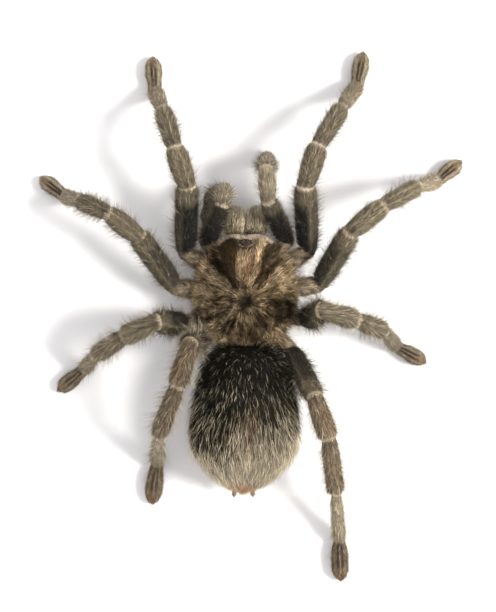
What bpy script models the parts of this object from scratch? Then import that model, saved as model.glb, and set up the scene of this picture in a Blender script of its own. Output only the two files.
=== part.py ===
"""A life-size Brazilian black tarantula, standing still on eight bent legs.

Lengths are in millimetres here and become metres where a mesh is made. The spider faces -Y and
its left side is +X. It is built round the pit in the middle of its back, at X = 0 and Y = 0, and
the last step moves it so that the middle of its box stands on the origin.
Each limb is a chain of segments, cut apart at each joint by a plane that halves the bend.
"""

import math
import random

import bmesh
import bpy
from mathutils import Vector

METRES = 0.001
GAP = 0.3
HIP_GAP = 0.48

# Heights above the floor that the limbs pass through
HIP_ROOT_HEIGHT = 6.2
FEMUR_START_HEIGHT = 8.7
ANKLE_HEIGHT = 2.35
TARSUS_PITCH = -3.0

# Lengths of each leg's femur, patella, tibia, metatarsus and tarsus
LEG_LENGTHS = {
    "leg_1": (18.2, 10.6, 13.0, 11.7, 8.4),
    "leg_2": (17.0, 10.6, 12.0, 11.0, 7.6),
    "leg_3": (15.0, 9.8, 10.4, 11.2, 8.3),
    "leg_4": (18.2, 10.9, 15.2, 16.9, 10.2),
}
# Half widths of each leg's hip at its outer end, femur, patella, tibia, metatarsus and tarsus
LEG_WIDTHS = {
    "leg_1": (2.3, 3.3, 3.0, 2.65, 2.2, 2.3),
    "leg_2": (2.4, 3.2, 2.85, 2.55, 2.1, 2.2),
    "leg_3": (2.2, 3.35, 2.9, 2.6, 1.95, 2.2),
    "leg_4": (2.2, 3.0, 2.8, 2.5, 1.85, 2.4),
}
# The same for the palps: femur, patella, tibia and tarsus
PALP_LENGTHS = (13.0, 8.0, 8.4, 6.4)
PALP_WIDTHS = (1.8, 2.6, 2.4, 2.3, 2.15)

# The pose of each leg: where its femur starts, outward and back from the pit, the headings of its
# five segments in degrees outward from straight ahead, and the pitches of the first three.
# The metatarsus takes the pitch that brings the ankle down to its height.
LEG_POSES = {
    ("leg_1", "left"): ((15.0, -12.0), (-2, 18, 18, 22, 4), (27, 21, -39)),
    ("leg_1", "right"): ((15.6, -12.4), (-3, 17, 32, 34, 11), (31, -2, -28)),
    ("leg_2", "left"): ((17.5, -3.2), (36, 52, 66, 71, 53), (24, 32, -47)),
    ("leg_2", "right"): ((18.3, -4.0), (31, 51, 61, 72, 51), (29, 8, -33)),
    ("leg_3", "left"): ((15.4, 5.9), (86, 114, 123, 139, 130), (64, -26, -31)),
    ("leg_3", "right"): ((15.4, 4.9), (55, 106, 111, 140, 119), (74, -22, -43)),
    ("leg_4", "left"): ((11.5, 10.3), (105, 163, 159, 175, 173), (83, -11, -28)),
    ("leg_4", "right"): ((11.5, 12.6), (154, 161, 172, 175, 178), (46, -9, -24)),
}
# The palps' poses, with the pitches of all four segments
PALP_POSES = {
    ("palp", "left"): ((9.9, -14.3), (-24, -7, 122, 172), (42, -56, -62, -9)),
    ("palp", "right"): ((10.5, -14.5), (-26, -4, 4, 10), (32, -4, -76, -75)),
}

# Where each hip leaves the breast plate, outward and back from the pit, and its half width there
HIP_ROOTS = {
    "palp": (2.6, -8.6, 1.1),
    "leg_1": (4.6, -5.0, 1.4),
    "leg_2": (5.1, -1.6, 1.6),
    "leg_3": (4.9, 2.3, 1.6),
    "leg_4": (3.8, 6.0, 1.5),
}
# Shares of a hip's length with its widening, and the groove between its two segments
HIP_PROFILE = ((0.3, 0.5), (0.58, 0.9), (0.66, 0.78), (0.84, 1.0))

# Shares of a segment's length between its slanted end faces, with its half width there
PROFILES = {
    "femur": ((0.0, 0.93), (0.34, 1.0), (0.68, 1.03), (1.0, 0.98)),
    "patella": ((0.0, 0.96), (0.5, 1.04), (1.0, 0.99)),
    "tibia": ((0.0, 0.95), (0.5, 1.03), (1.0, 0.99)),
    "metatarsus": ((0.0, 0.97), (0.5, 1.0), (1.0, 1.0)),
    "tarsus": ((0.05, 1.0), (0.45, 1.07), (0.8, 0.96)),
}
JOINT_SHARE = 0.8
ANKLE_SHARE = 0.96
END_MARGIN = 0.5
FEMUR_BOW = 0.5
TIP_RINGS = ((0.93, 0.72), (1.0, 0.36))
LIMB_SIDES = 8

# The carapace's radius round the pit, by degrees from straight ahead
CARAPACE_OUTLINE = (
    (0, 16.1),
    (18, 16.7),
    (26, 16.1),
    (47, 14.0),
    (75, 12.6),
    (103, 12.1),
    (130, 12.1),
    (153, 11.5),
    (180, 10.4),
)
CARAPACE_BASE = 10.4
CARAPACE_RIM = 11.1
CARAPACE_TOP = 15.2
CLYPEUS_RISE = 1.5
HEAD_BULGE = 0.8
HEAD_EDGE = (30, 42)
PIT_RADIUS = 1.5
PIT_DEPTH = 1.5
GROOVES = (37, 64, 91, 118, 145)
GROOVE_DEPTH = 0.45
GROOVE_WIDTH = 5.0
CARAPACE_RINGS = (0.09, 0.2, 0.38, 0.58, 0.75, 0.88, 0.96)
CARAPACE_SECTORS = 36

STERNUM_BOTTOM = 4.2
STERNUM_BEVEL = 0.9
LABIUM_FRONT = -11.0

EYE_HILL = (0.0, -13.9, 14.3)
EYE_HILL_RADII = (1.8, 1.3, 1.35)
SOCKET_GAP = 0.5
# Each eye of one side: outward and back from the hill's middle, and its radius
EYES = ((0.48, -0.72, 0.36), (1.2, -0.7, 0.38), (1.42, 0.28, 0.36), (0.8, 0.6, 0.3))

# A jaw's centre line: outward, back and up, its half width and half height, and its pitch
JAW_STATIONS = (
    (2.2, -12.0, 7.2, 1.7, 2.0, 0),
    (2.6, -16.0, 7.1, 2.1, 2.1, 0),
    (2.85, -17.3, 8.7, 2.45, 3.2, 0),
    (2.85, -18.9, 9.0, 2.55, 3.4, -10),
    (2.8, -20.3, 8.1, 2.45, 3.0, -42),
    (2.7, -21.3, 6.3, 2.1, 2.3, -68),
    (2.6, -21.5, 4.7, 1.5, 1.6, -86),
)
JAW_SIDES = 12
FANG_RADII = (0.95, 0.85, 0.7, 0.52, 0.34, 0.15)
FANG_BEND_RADIUS = 3.2
FANG_TURN = 96
FANG_SIDES = 8

# The abdomen's stations: back from the pit, half width, half height and height of its middle
ABDOMEN_STATIONS = (
    (11.4, 2.4, 2.2, 9.6),
    (12.3, 6.0, 4.7, 10.9),
    (14.4, 8.9, 7.3, 12.2),
    (18.2, 10.5, 9.1, 13.0),
    (23.0, 11.9, 10.2, 13.4),
    (28.5, 12.9, 10.6, 13.5),
    (33.5, 13.1, 10.5, 13.5),
    (38.0, 12.2, 9.7, 13.3),
    (41.6, 10.2, 8.3, 12.9),
    (44.4, 7.8, 6.4, 12.3),
    (46.3, 5.1, 4.2, 11.8),
    (47.2, 2.9, 2.4, 11.5),
)
ABDOMEN_SIDES = 18
# How far the abdomen's rear swings to the spider's left, and where that begins and ends
ABDOMEN_SWING = 0.5
ABDOMEN_SWING_REACH = (22.0, 38.0)

PEDICEL_RADII = (1.7, 1.25)
PEDICEL_MIDDLE = 8.55
SPINNERET_ROOT = (1.75, 45.55, 6.69)
SPINNERET_ROOT_NORMAL = (0.1, 0.685, -0.728)
SPINNERET_PITCH = -12
SPINNERET_SPREAD = 9
SPINNERET_LENGTH = 4.0
SPINNERET_RADIUS = 0.95
# Shares of a spinneret's length with its radius, which steps at each of its three segments
SPINNERET_PROFILE = (
    (0.16, 1.0),
    (0.38, 1.0),
    (0.42, 0.84),
    (0.66, 0.84),
    (0.7, 0.66),
    (0.94, 0.5),
    (1.0, 0.24),
)
SPINNERET_SIDES = 8

# Stations along a lock of the coat, with its share of the width there and the ridge's height
LOCK_STATIONS = ((0.0, 0.85, 0.6), (0.4, 1.0, 0.5), (0.75, 0.56, 0.42))
LOCK_SINK = 0.8
LOCK_SEED = 11
# How much locks differ in length, and how short one may get to keep clear of what is near
LOCK_VARIES = 0.12
LOCK_SHORTER = (1.0, 0.8, 0.63, 0.5)
# The turn round a limb from one lock to the next
LOCK_TURN = 137.5
# The coat on each segment: how many locks, their length and width, and how far their tips lift
LIMB_COATS = {
    "femur": (7, 7.4, 4.0, 1.35),
    "patella": (5, 5.4, 3.8, 1.25),
    "tibia": (6, 5.8, 3.5, 1.25),
    "metatarsus": (5, 5.2, 3.0, 1.1),
    "tarsus": (4, 3.4, 2.6, 0.9),
    "palp femur": (6, 5.6, 3.3, 1.1),
    "palp patella": (4, 4.4, 3.1, 1.1),
    "palp tibia": (4, 4.4, 3.0, 1.1),
    "palp tarsus": (3, 3.2, 2.6, 0.9),
}
# How much more the locks on top of a leg's knee lift than those round its sides
KNEE_RISE = 1.3
# Where a segment's locks begin after its start and stop before its end
COAT_START = 0.4
COAT_END = 3.0
# The coat on each jaw, the turns round it and the distances along it that it covers
JAW_COAT = (6, 4.8, 2.6, 0.9)
JAW_COAT_TURNS = (20, 160)
JAW_COAT_REACH = (5.6, 10.6)
# The abdomen's locks: length, width and lift, where their tiers stand, and their spacing round it
ABDOMEN_COAT = (8.6, 3.9, 1.8)
ABDOMEN_TIERS = (12.6, 16.6, 21.4, 26.4, 31.2, 35.8, 39.8, 43.0, 45.0)
ABDOMEN_LOCK_SPACING = 5.0
# How much of a lock's direction is straight back and not along the skin, and where that sets in
ABDOMEN_LIE = 0.5
ABDOMEN_LIE_REACH = (22.0, 38.0)
# No locks grow this near to the middle, this far back and this low on the abdomen
SPINNERET_CLEAR = (5.5, 38.5, 10.5)
# The room that locks leave to the floor, and to the plain form of any other piece
FLOOR_CLEAR = 0.4
COAT_CLEAR = 1.5
# Faces that lie within this many degrees of one plane are joined after a union
FLAT_ANGLE = 1.0


def clear_scene():
    for item in list(bpy.data.objects):
        bpy.data.objects.remove(item)


def make_material(name, colour, roughness):
    material = bpy.data.materials.new(name)
    material.use_nodes = True
    shader = material.node_tree.nodes["Principled BSDF"]
    shader.inputs["Base Color"].default_value = (*colour, 1)
    shader.inputs["Roughness"].default_value = roughness
    shader.inputs["Metallic"].default_value = 0.0
    return material


def make_object(name, shape, material):
    """A closed mesh from points in millimetres and faces, all turned outwards."""
    points, faces = shape
    mesh = bpy.data.meshes.new(name)
    mesh.from_pydata([p * METRES for p in points], [], faces)
    work = bmesh.new()
    work.from_mesh(mesh)
    bmesh.ops.triangulate(work, faces=work.faces)
    bmesh.ops.recalc_face_normals(work, faces=work.faces)
    work.to_mesh(mesh)
    work.free()
    mesh.materials.append(material)
    mesh.shade_smooth()
    mesh.set_sharp_from_angle(angle=math.radians(40))
    item = bpy.data.objects.new(name, mesh)
    bpy.context.scene.collection.objects.link(item)
    return item


def combine(item, others, operation):
    """One Boolean of an object with others, applied, with the others removed."""
    tools = bpy.data.collections.new("tools")
    for other in others:
        tools.objects.link(other)
    modifier = item.modifiers.new("combine", "BOOLEAN")
    modifier.operation = operation
    modifier.operand_type = "COLLECTION"
    modifier.collection = tools
    modifier.solver = "EXACT"
    bpy.context.view_layer.update()
    graph = bpy.context.evaluated_depsgraph_get()
    joined = bpy.data.meshes.new_from_object(item.evaluated_get(graph))
    item.modifiers.clear()
    item.data = joined
    for other in list(tools.objects):
        bpy.data.objects.remove(other)
    bpy.data.collections.remove(tools)
    keep_largest(joined)
    joined.shade_smooth()
    joined.set_sharp_from_angle(angle=math.radians(40))


def keep_largest(mesh):
    """Removes all but the largest closed surface of a mesh."""
    work = bmesh.new()
    work.from_mesh(mesh)
    left = set(work.faces)
    surfaces = []
    while left:
        front = [left.pop()]
        surface = list(front)
        while front:
            face = front.pop()
            for edge in face.edges:
                for near in edge.link_faces:
                    if near in left:
                        left.remove(near)
                        front.append(near)
                        surface.append(near)
        surfaces.append(surface)
    surfaces.sort(key=lambda faces: sum(face.calc_area() for face in faces))
    for surface in surfaces[:-1]:
        bmesh.ops.delete(work, geom=surface, context="FACES")
    bmesh.ops.dissolve_limit(work, angle_limit=math.radians(FLAT_ANGLE), verts=work.verts, edges=work.edges)
    bmesh.ops.triangulate(work, faces=work.faces)
    work.to_mesh(mesh)
    work.free()


def curve(table, x):
    """The value at x on a smooth curve through rising (x, value) pairs."""
    last = len(table) - 1
    i = min(max(sum(1 for place, _ in table if place <= x) - 1, 0), last - 1)
    x0, v0 = table[i]
    x1, v1 = table[i + 1]

    def slope(k):
        a, b = table[max(k - 1, 0)], table[min(k + 1, last)]
        return (b[1] - a[1]) / (b[0] - a[0])

    share = min(max((x - x0) / (x1 - x0), 0.0), 1.0)
    width = x1 - x0
    near = (1 + 2 * share) * (1 - share) ** 2 * v0 + share * (1 - share) ** 2 * width * slope(i)
    far = share**2 * (3 - 2 * share) * v1 + share**2 * (share - 1) * width * slope(i + 1)
    return near + far


def ease(x, low, high):
    """Goes smoothly from 0 at low to 1 at high."""
    share = min(max((x - low) / (high - low), 0.0), 1.0)
    return share * share * (3 - 2 * share)


def ring(centre, side, up, half_width, half_height, count):
    """The points of an ellipse round a centre."""
    points = []
    for i in range(count):
        turn = 2 * math.pi * i / count
        points.append(centre + side * (half_width * math.cos(turn)) + up * (half_height * math.sin(turn)))
    return points


def loft(rings):
    """The points and faces of a closed skin through rings of equal count, with flat ends."""
    count = len(rings[0])
    points = [point for one in rings for point in one]
    last = (len(rings) - 1) * count
    faces = [tuple(range(count)), tuple(last + i for i in range(count))]
    for r in range(len(rings) - 1):
        for i in range(count):
            a, b = r * count + i, r * count + (i + 1) % count
            faces.append((a, b, b + count, a + count))
    return points, faces


class Skin:
    """A lofted skin that can be asked for places on its surface."""

    def __init__(self, rings):
        self.rings = rings
        self.centres = [sum(one, Vector((0, 0, 0))) / len(one) for one in rings]
        self.reach = [0.0]
        for here, there in zip(self.centres, self.centres[1:]):
            self.reach.append(self.reach[-1] + (there - here).length)

    def point(self, distance, turn):
        """The surface point at a distance along the skin and a turn round it in degrees."""
        level = sum(1 for reach in self.reach[1:-1] if reach <= distance)
        share = (distance - self.reach[level]) / (self.reach[level + 1] - self.reach[level])
        count = len(self.rings[level])
        step = (turn % 360) / 360 * count
        i = int(step) % count
        part = step - int(step)
        near = self.rings[level][i].lerp(self.rings[level][(i + 1) % count], part)
        far = self.rings[level + 1][i].lerp(self.rings[level + 1][(i + 1) % count], part)
        return near.lerp(far, share)

    def place(self, distance, turn):
        """A surface point with the directions onward along the skin and out of it."""
        step = 0.3
        point = self.point(distance, turn)
        back = max(distance - step, 0.0)
        onward = (self.point(back + 2 * step, turn) - self.point(back, turn)).normalized()
        around = self.point(distance, turn + 4) - self.point(distance, turn - 4)
        out = onward.cross(around).normalized()
        level = sum(1 for reach in self.reach[1:-1] if reach <= distance)
        if out.dot(point - self.centres[level].lerp(self.centres[level + 1], 0.5)) < 0:
            out.negate()
        return point, onward, out


def lock_rings(root, lie, out, radius, length, width, lift, bend):
    """A flat, tapered lock: it leaves the skin, bends over, and hugs the round form below it."""
    across = lie.cross(out).normalized()
    rings = []
    for share, wide, ridge in LOCK_STATIONS:
        rise = -LOCK_SINK + (LOCK_SINK + lift) * (1 - (1 - share) ** 2)
        middle = root + lie * (length * share) + out * rise + across * (bend * share * share)
        half = width * wide / 2
        droop = half * half / (2 * radius)
        left = middle - across * half - out * droop
        right = middle + across * half - out * droop
        rings.append([left, right, middle + out * ridge])
    tip = root + lie * length + out * lift + across * bend
    return rings, tip


def lock_shape(rings, tip):
    """The points and faces of a lock, from its rings and its tip."""
    points = [point for one in rings for point in one] + [tip]
    last = len(points) - 1
    faces = [(0, 1, 2)]
    for r in range(len(rings) - 1):
        for i in range(3):
            a, b = 3 * r + i, 3 * r + (i + 1) % 3
            faces.append((a, b, b + 3, a + 3))
    for i in range(3):
        faces.append((last - 3 + i, last - 3 + (i + 1) % 3, last))
    return points, faces


class Owner:
    """The piece that a lock grows from: its limb, the segments that it holds, and its end planes."""

    def __init__(self, name, first=0, last=0, planes=()):
        self.name = name
        self.first = first
        self.last = last
        self.planes = planes


class Room:
    """What a lock has to stay clear of: the floor, other limbs and the body's two large forms."""

    def __init__(self, chains):
        self.rods = []
        for (limb, side), chain in chains.items():
            for index, part in enumerate(chain):
                self.rods.append((f"{limb}_{side}", index, part.start, part.end, part.half_width))
        for side in ("left", "right"):
            for near, far in zip(JAW_STATIONS[1:], JAW_STATIONS[2:]):
                start = Vector((outward(side) * near[0], near[1], near[2]))
                end = Vector((outward(side) * far[0], far[1], far[2]))
                self.rods.append((f"chelicera_{side}", 0, start, end, max(near[3], near[4])))

    def clear(self, points, owner):
        """Whether all points of a lock keep clear, for the piece that owns it."""
        if any(point.z < FLOOR_CLEAR for point in points):
            return False
        for place, normal in owner.planes:
            if any((point - place).dot(normal) > -GAP for point in points):
                return False
        for name, index, start, end, half in self.rods:
            if name == owner.name and owner.first - 1 <= index <= owner.last + 1:
                continue
            axis = end - start
            for point in points:
                share = min(max((point - start).dot(axis) / axis.length_squared, 0.0), 1.0)
                if (point - start - axis * share).length < half + COAT_CLEAR:
                    return False
        if any(self.in_carapace(point) for point in points):
            return False
        return owner.name == "abdomen" or not any(self.in_abdomen(point) for point in points)

    def in_carapace(self, point):
        if not CARAPACE_BASE - 2 * GAP < point.z < CARAPACE_TOP + 4 * GAP:
            return False
        degrees = math.degrees(math.atan2(abs(point.x), -point.y))
        return math.hypot(point.x, point.y) < curve(CARAPACE_OUTLINE, degrees) + 2 * GAP

    def in_abdomen(self, point):
        if not ABDOMEN_STATIONS[0][0] - GAP < point.y < ABDOMEN_STATIONS[-1][0] + GAP:
            return False
        half_width, half_height, middle = abdomen_sizes(point.y)
        across = (point.x - abdomen_swing(point.y)) / (half_width + COAT_CLEAR)
        up = (point.z - middle) / (half_height + COAT_CLEAR)
        return across * across + up * up < 1


def abdomen_swing(back):
    """How far the abdomen's middle lies to the left at a distance back from the pit."""
    return ABDOMEN_SWING * ease(back, *ABDOMEN_SWING_REACH)


def abdomen_sizes(back):
    """The abdomen's half width, half height and middle at a distance back from the pit."""
    tables = [[(station[0], station[k]) for station in ABDOMEN_STATIONS] for k in (1, 2, 3)]
    return tuple(curve(table, back) for table in tables)


def grow_lock(room, draw, point, out, lie, radius, sizes, owner):
    """One lock of the coat, shortened until it keeps clear, or None where it can't."""
    length, width, lift = sizes
    varied = 1 + draw.uniform(-LOCK_VARIES, LOCK_VARIES)
    bend = draw.uniform(-0.3, 0.3) * width
    for shorter in LOCK_SHORTER:
        scale = varied * shorter
        rings, tip = lock_rings(point, lie, out, radius, length * scale, width, lift * scale, bend * shorter)
        outer = [p for one in rings[1:] for p in one] + [tip]
        outer += [(a[2] + b[2]) / 2 for a, b in zip(rings[1:], rings[2:])]
        if room.clear(outer + rings[0], owner):
            return lock_shape(rings, tip)
    return None


def coat_limb(room, draw, skin, span, coat, radius, owner, top_rise):
    """The locks along one segment of a limb, spaced evenly round and along it."""
    count, length, width, lift = coat
    first, last = span
    phase = draw.uniform(0, 360)
    shapes = []
    for i in range(count):
        distance = first + (last - first) * (i + 0.3) / count
        turn = phase + i * LOCK_TURN + draw.uniform(-12, 12)
        point, onward, out = skin.place(distance, turn)
        raised = lift * (1 + top_rise * max(out.z, 0.0) ** 2)
        shape = grow_lock(room, draw, point, out, onward, radius, (length, width, raised), owner)
        if shape:
            shapes.append(shape)
    return shapes


def fuse_locks(item, shapes, material):
    locks = [make_object("lock", shape, material) for shape in shapes]
    if locks:
        combine(item, locks, "UNION")


def outward(side):
    """Which way along X is outward on a side."""
    return 1 if side == "left" else -1


def aim(side, heading, pitch):
    """The direction of a segment with this heading and pitch, and its dorsal direction."""
    h, p = math.radians(heading), math.radians(pitch)
    level = Vector((outward(side) * math.sin(h), -math.cos(h), 0))
    along = level * math.cos(p) + Vector((0, 0, math.sin(p)))
    dorsal = level * -math.sin(p) + Vector((0, 0, math.cos(p)))
    return along, dorsal


class Segment:
    """One length of a limb, between two joints."""

    def __init__(self, name, start, along, dorsal, length, half_width):
        self.name = name
        self.start = start
        self.along = along
        self.dorsal = dorsal
        self.side = along.cross(dorsal)
        self.length = length
        self.half_width = half_width
        self.end = start + along * length

    def ring_at(self, distance, half, lift=0.0):
        centre = self.start + self.along * distance + self.dorsal * lift
        return ring(centre, self.side, self.dorsal, half, half, LIMB_SIDES)


def limb_chain(limb, side, start, lengths, widths, headings, pitches):
    """The segments of one limb, from its hip to its tarsus."""
    root_out, root_back, _ = HIP_ROOTS[limb]
    root = Vector((outward(side) * root_out, root_back, HIP_ROOT_HEIGHT))
    at = Vector((outward(side) * start[0], start[1], FEMUR_START_HEIGHT))
    level = Vector((at.x - root.x, at.y - root.y, 0)).normalized()
    root = root + level * HIP_GAP
    along = (at - root).normalized()
    dorsal = (Vector((0, 0, 1)) - along * along.z).normalized()
    chain = [Segment("hip", root, along, dorsal, (at - root).length, widths[0])]
    names = ("femur", "patella", "tibia", "metatarsus", "tarsus")
    if limb == "palp":
        names = ("femur", "patella", "tibia", "tarsus")
    for name, length, width, heading, pitch in zip(names, lengths, widths[1:], headings, pitches):
        along, dorsal = aim(side, heading, pitch)
        chain.append(Segment(name, at, along, dorsal, length, width))
        at = chain[-1].end
    return chain


def leg_pitches(limb, pitches):
    """The pitches of a whole leg, whose metatarsus reaches down to the ankle's height."""
    lengths = LEG_LENGTHS[limb]
    height = FEMUR_START_HEIGHT
    for length, pitch in zip(lengths, pitches):
        height += length * math.sin(math.radians(pitch))
    reach = math.degrees(math.asin((ANKLE_HEIGHT - height) / lengths[3]))
    return (*pitches, reach, TARSUS_PITCH)


def all_chains():
    chains = {}
    for (limb, side), (start, headings, pitches) in LEG_POSES.items():
        lengths, widths = LEG_LENGTHS[limb], LEG_WIDTHS[limb]
        chains[limb, side] = limb_chain(
            limb, side, start, lengths, widths, headings, leg_pitches(limb, pitches)
        )
    for (limb, side), (start, headings, pitches) in PALP_POSES.items():
        chains[limb, side] = limb_chain(limb, side, start, PALP_LENGTHS, PALP_WIDTHS, headings, pitches)
    return chains


def joint_ring(before, after, share, shift):
    """A ring in the plane that halves the bend between two segments, moved along its normal."""
    normal = (before.along + after.along).normalized()
    dorsal = before.dorsal + after.dorsal
    up = (dorsal - normal * dorsal.dot(normal)).normalized()
    half = share * min(before.half_width, after.half_width)
    return ring(after.start + normal * shift, normal.cross(up), up, half, half, LIMB_SIDES)


def slant(part, other):
    """How far along a segment the slanted joint with another one reaches at its full width."""
    normal = (part.along + other.along).normalized()
    lean = math.acos(min(1.0, part.along.dot(normal)))
    return part.half_width * math.tan(lean)


def segment_rings(chain, index):
    """The rings of one segment between its slanted end faces."""
    part = chain[index]
    low = slant(part, chain[index - 1]) + END_MARGIN
    high = part.length
    if index + 1 < len(chain):
        high -= slant(part, chain[index + 1]) + END_MARGIN
    rings = []
    for share, width in PROFILES[part.name]:
        bow = FEMUR_BOW * math.sin(math.pi * share) if part.name == "femur" else 0.0
        rings.append(part.ring_at(low + (high - low) * share, part.half_width * width, bow))
    return rings


def node_rings(chain, first, last):
    """The rings of a node that holds the chain's segments from first to last."""
    rings = [joint_ring(chain[first - 1], chain[first], JOINT_SHARE, GAP / 2)]
    for index in range(first, last + 1):
        if index > first:
            rings.append(joint_ring(chain[index - 1], chain[index], ANKLE_SHARE, 0.0))
        rings += segment_rings(chain, index)
    tip = chain[last]
    if last + 1 < len(chain):
        rings.append(joint_ring(tip, chain[last + 1], JOINT_SHARE, -GAP / 2))
    else:
        rings += [tip.ring_at(tip.length * share, tip.half_width * width) for share, width in TIP_RINGS]
    return [[Vector((p.x, p.y, max(p.z, 0.0))) for p in one] for one in rings]


def hip_rings(limb, chain):
    """A hip starts square to the breast plate and widens to the ring that carries the femur."""
    hip, femur = chain[0], chain[1]
    root_half = HIP_ROOTS[limb][2]
    level = Vector((hip.along.x, hip.along.y, 0)).normalized()
    up = Vector((0, 0, 1))
    rings = [ring(hip.start, level.cross(up), up, root_half, root_half, LIMB_SIDES)]
    high = hip.length - slant(hip, femur) - END_MARGIN
    for share, widening in HIP_PROFILE:
        half = root_half + (hip.half_width - root_half) * widening
        rings.append(hip.ring_at(high * share, half))
    rings.append(joint_ring(hip, femur, JOINT_SHARE, -GAP / 2))
    return rings


def joint_planes(chain, first, last):
    """The planes that close off a node's segments, each with its normal away from the node."""
    near = (chain[first - 1].along + chain[first].along).normalized()
    planes = [(chain[first].start, -near)]
    if last + 1 < len(chain):
        planes.append((chain[last].end, (chain[last].along + chain[last + 1].along).normalized()))
    return planes


def make_limb(limb, side, chain, coats, room, draw):
    """A limb's nodes: the hip, the femur, the patella, a leg's tibia, and the foot."""
    make_object(f"{limb}_{side}_hip", loft(hip_rings(limb, chain)), coats["grey"])
    split = len(chain) - 2
    for first in range(1, split + 1):
        last = first if first < split else split + 1
        part = chain[first]
        name = part.name if first < split else "foot"
        material = coats["dark"] if name == "femur" else coats["grey"]
        rings = node_rings(chain, first, last)
        item = make_object(f"{limb}_{side}_{name}", loft(rings), material)
        skin = Skin(rings)
        owner = Owner(f"{limb}_{side}", first, last, joint_planes(chain, first, last))
        shapes = []
        begin = 0.0
        for part in chain[first : last + 1]:
            coat = LIMB_COATS[f"palp {part.name}" if limb == "palp" else part.name]
            span = (begin + COAT_START, begin + part.length - COAT_END)
            top_rise = KNEE_RISE if part.name == "patella" and limb != "palp" else 0.0
            shapes += coat_limb(room, draw, skin, span, coat, part.half_width, owner, top_rise)
            begin += part.length
        fuse_locks(item, shapes, material)


def carapace_height(degrees, share):
    """The height of the carapace's back, by degrees from straight ahead and share of its radius."""
    head = 1 - ease(degrees, *HEAD_EDGE)
    rim = CARAPACE_RIM + CLYPEUS_RISE * head
    thorax_fall = 1 - share**2.3
    head_fall = 1 - share**7
    height = rim + (CARAPACE_TOP - rim) * (thorax_fall + (head_fall - thorax_fall) * head)
    height += HEAD_BULGE * head * math.sin(math.pi * min(1.0, share**0.8))
    radius = share * curve(CARAPACE_OUTLINE, degrees)
    height -= PIT_DEPTH * math.exp(-((radius / PIT_RADIUS) ** 2))
    for groove in GROOVES:
        near = math.exp(-(((degrees - groove) / GROOVE_WIDTH) ** 2))
        height -= GROOVE_DEPTH * math.sin(math.pi * share) * near
    return height


def make_carapace(coats):
    """The shield over the front body: a pit, grooves that radiate from it, and a raised head."""
    count = CARAPACE_SECTORS
    levels = [*CARAPACE_RINGS, 1.0]
    points = [Vector((0, 0, carapace_height(0, 0.0)))]
    for share in levels:
        for i in range(count):
            turn = 360 * i / count
            degrees = min(turn, 360 - turn)
            radius = share * curve(CARAPACE_OUTLINE, degrees)
            across, back = math.sin(math.radians(turn)), -math.cos(math.radians(turn))
            points.append(Vector((across * radius, back * radius, carapace_height(degrees, share))))
    edge = points[-count:]
    points += [Vector((p.x, p.y, CARAPACE_BASE)) for p in edge]
    points.append(Vector((0, 0, CARAPACE_BASE)))
    faces = [(0, 1 + i, 1 + (i + 1) % count) for i in range(count)]
    for r in range(len(levels)):
        for i in range(count):
            a, b = 1 + r * count + i, 1 + r * count + (i + 1) % count
            faces.append((a, b, b + count, a + count))
    bottom = 1 + len(levels) * count
    faces += [(bottom + i, bottom + (i + 1) % count, bottom + count) for i in range(count)]
    carapace = make_object("carapace", (points, faces), coats["bronze"])
    radii = [radius + SOCKET_GAP for radius in EYE_HILL_RADII]
    socket = make_object("socket", ellipsoid(EYE_HILL, radii, 12, 6), coats["bronze"])
    combine(carapace, [socket], "DIFFERENCE")


def ellipsoid(centre, radii, sectors, bands):
    """The points and faces of an ellipsoid with this many sectors and bands."""
    middle = Vector(centre)
    points = [middle + Vector((0, 0, radii[2]))]
    for band in range(1, bands):
        tilt = math.pi * band / bands
        for i in range(sectors):
            turn = 2 * math.pi * i / sectors
            x = radii[0] * math.sin(tilt) * math.cos(turn)
            y = radii[1] * math.sin(tilt) * math.sin(turn)
            points.append(middle + Vector((x, y, radii[2] * math.cos(tilt))))
    points.append(middle - Vector((0, 0, radii[2])))
    faces = [(0, 1 + i, 1 + (i + 1) % sectors) for i in range(sectors)]
    for band in range(bands - 2):
        for i in range(sectors):
            a, b = 1 + band * sectors + i, 1 + band * sectors + (i + 1) % sectors
            faces.append((a, b, b + sectors, a + sectors))
    low = 1 + (bands - 2) * sectors
    faces += [(low + i, low + (i + 1) % sectors, low + sectors) for i in range(sectors)]
    return points, faces


def make_eye_hill(coats):
    """The low hill on the front of the head, with its eight eyes."""
    hill = make_object("eye_hill", ellipsoid(EYE_HILL, EYE_HILL_RADII, 12, 6), coats["black"])
    eyes = []
    for x_sign in (1, -1):
        for out, back, radius in EYES:
            level = (out / EYE_HILL_RADII[0]) ** 2 + (back / EYE_HILL_RADII[1]) ** 2
            up = EYE_HILL_RADII[2] * math.sqrt(1 - level)
            centre = Vector(EYE_HILL) + Vector((x_sign * out, back, up - 0.1 * radius))
            eyes.append(make_object("eye", ellipsoid(centre, (radius,) * 3, 7, 4), coats["black"]))
    combine(hill, eyes, "UNION")


def make_underbody(chains, coats):
    """The breast plate with the lip in front, whose outline has a flat for each hip."""
    corners = {"left": [], "right": []}
    for limb, (_, _, half) in HIP_ROOTS.items():
        for side in ("left", "right"):
            hip = chains[limb, side][0]
            level = Vector((hip.along.x, hip.along.y, 0)).normalized()
            root = hip.start - level * HIP_GAP
            backward = Vector((-level.y, level.x, 0)) * outward(side)
            for step in (-half, half):
                corners[side].append(root + backward * step)
    outline = [Vector((0, LABIUM_FRONT, 0)), *corners["left"], *reversed(corners["right"])]
    top = CARAPACE_BASE - GAP
    middle = Vector((0, 0, 0))
    for corner in outline:
        middle += corner / len(outline)
    levels = ((STERNUM_BOTTOM, STERNUM_BEVEL), (STERNUM_BOTTOM + STERNUM_BEVEL / 2, 0.0), (top, 0.0))
    rings = []
    for height, inset in levels:
        rings.append([])
        for corner in outline:
            inward = Vector((middle.x - corner.x, middle.y - corner.y, 0)).normalized() * inset
            rings[-1].append(Vector((corner.x, corner.y, height)) + inward)
    make_object("underbody", loft(rings), coats["grey"])


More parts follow.
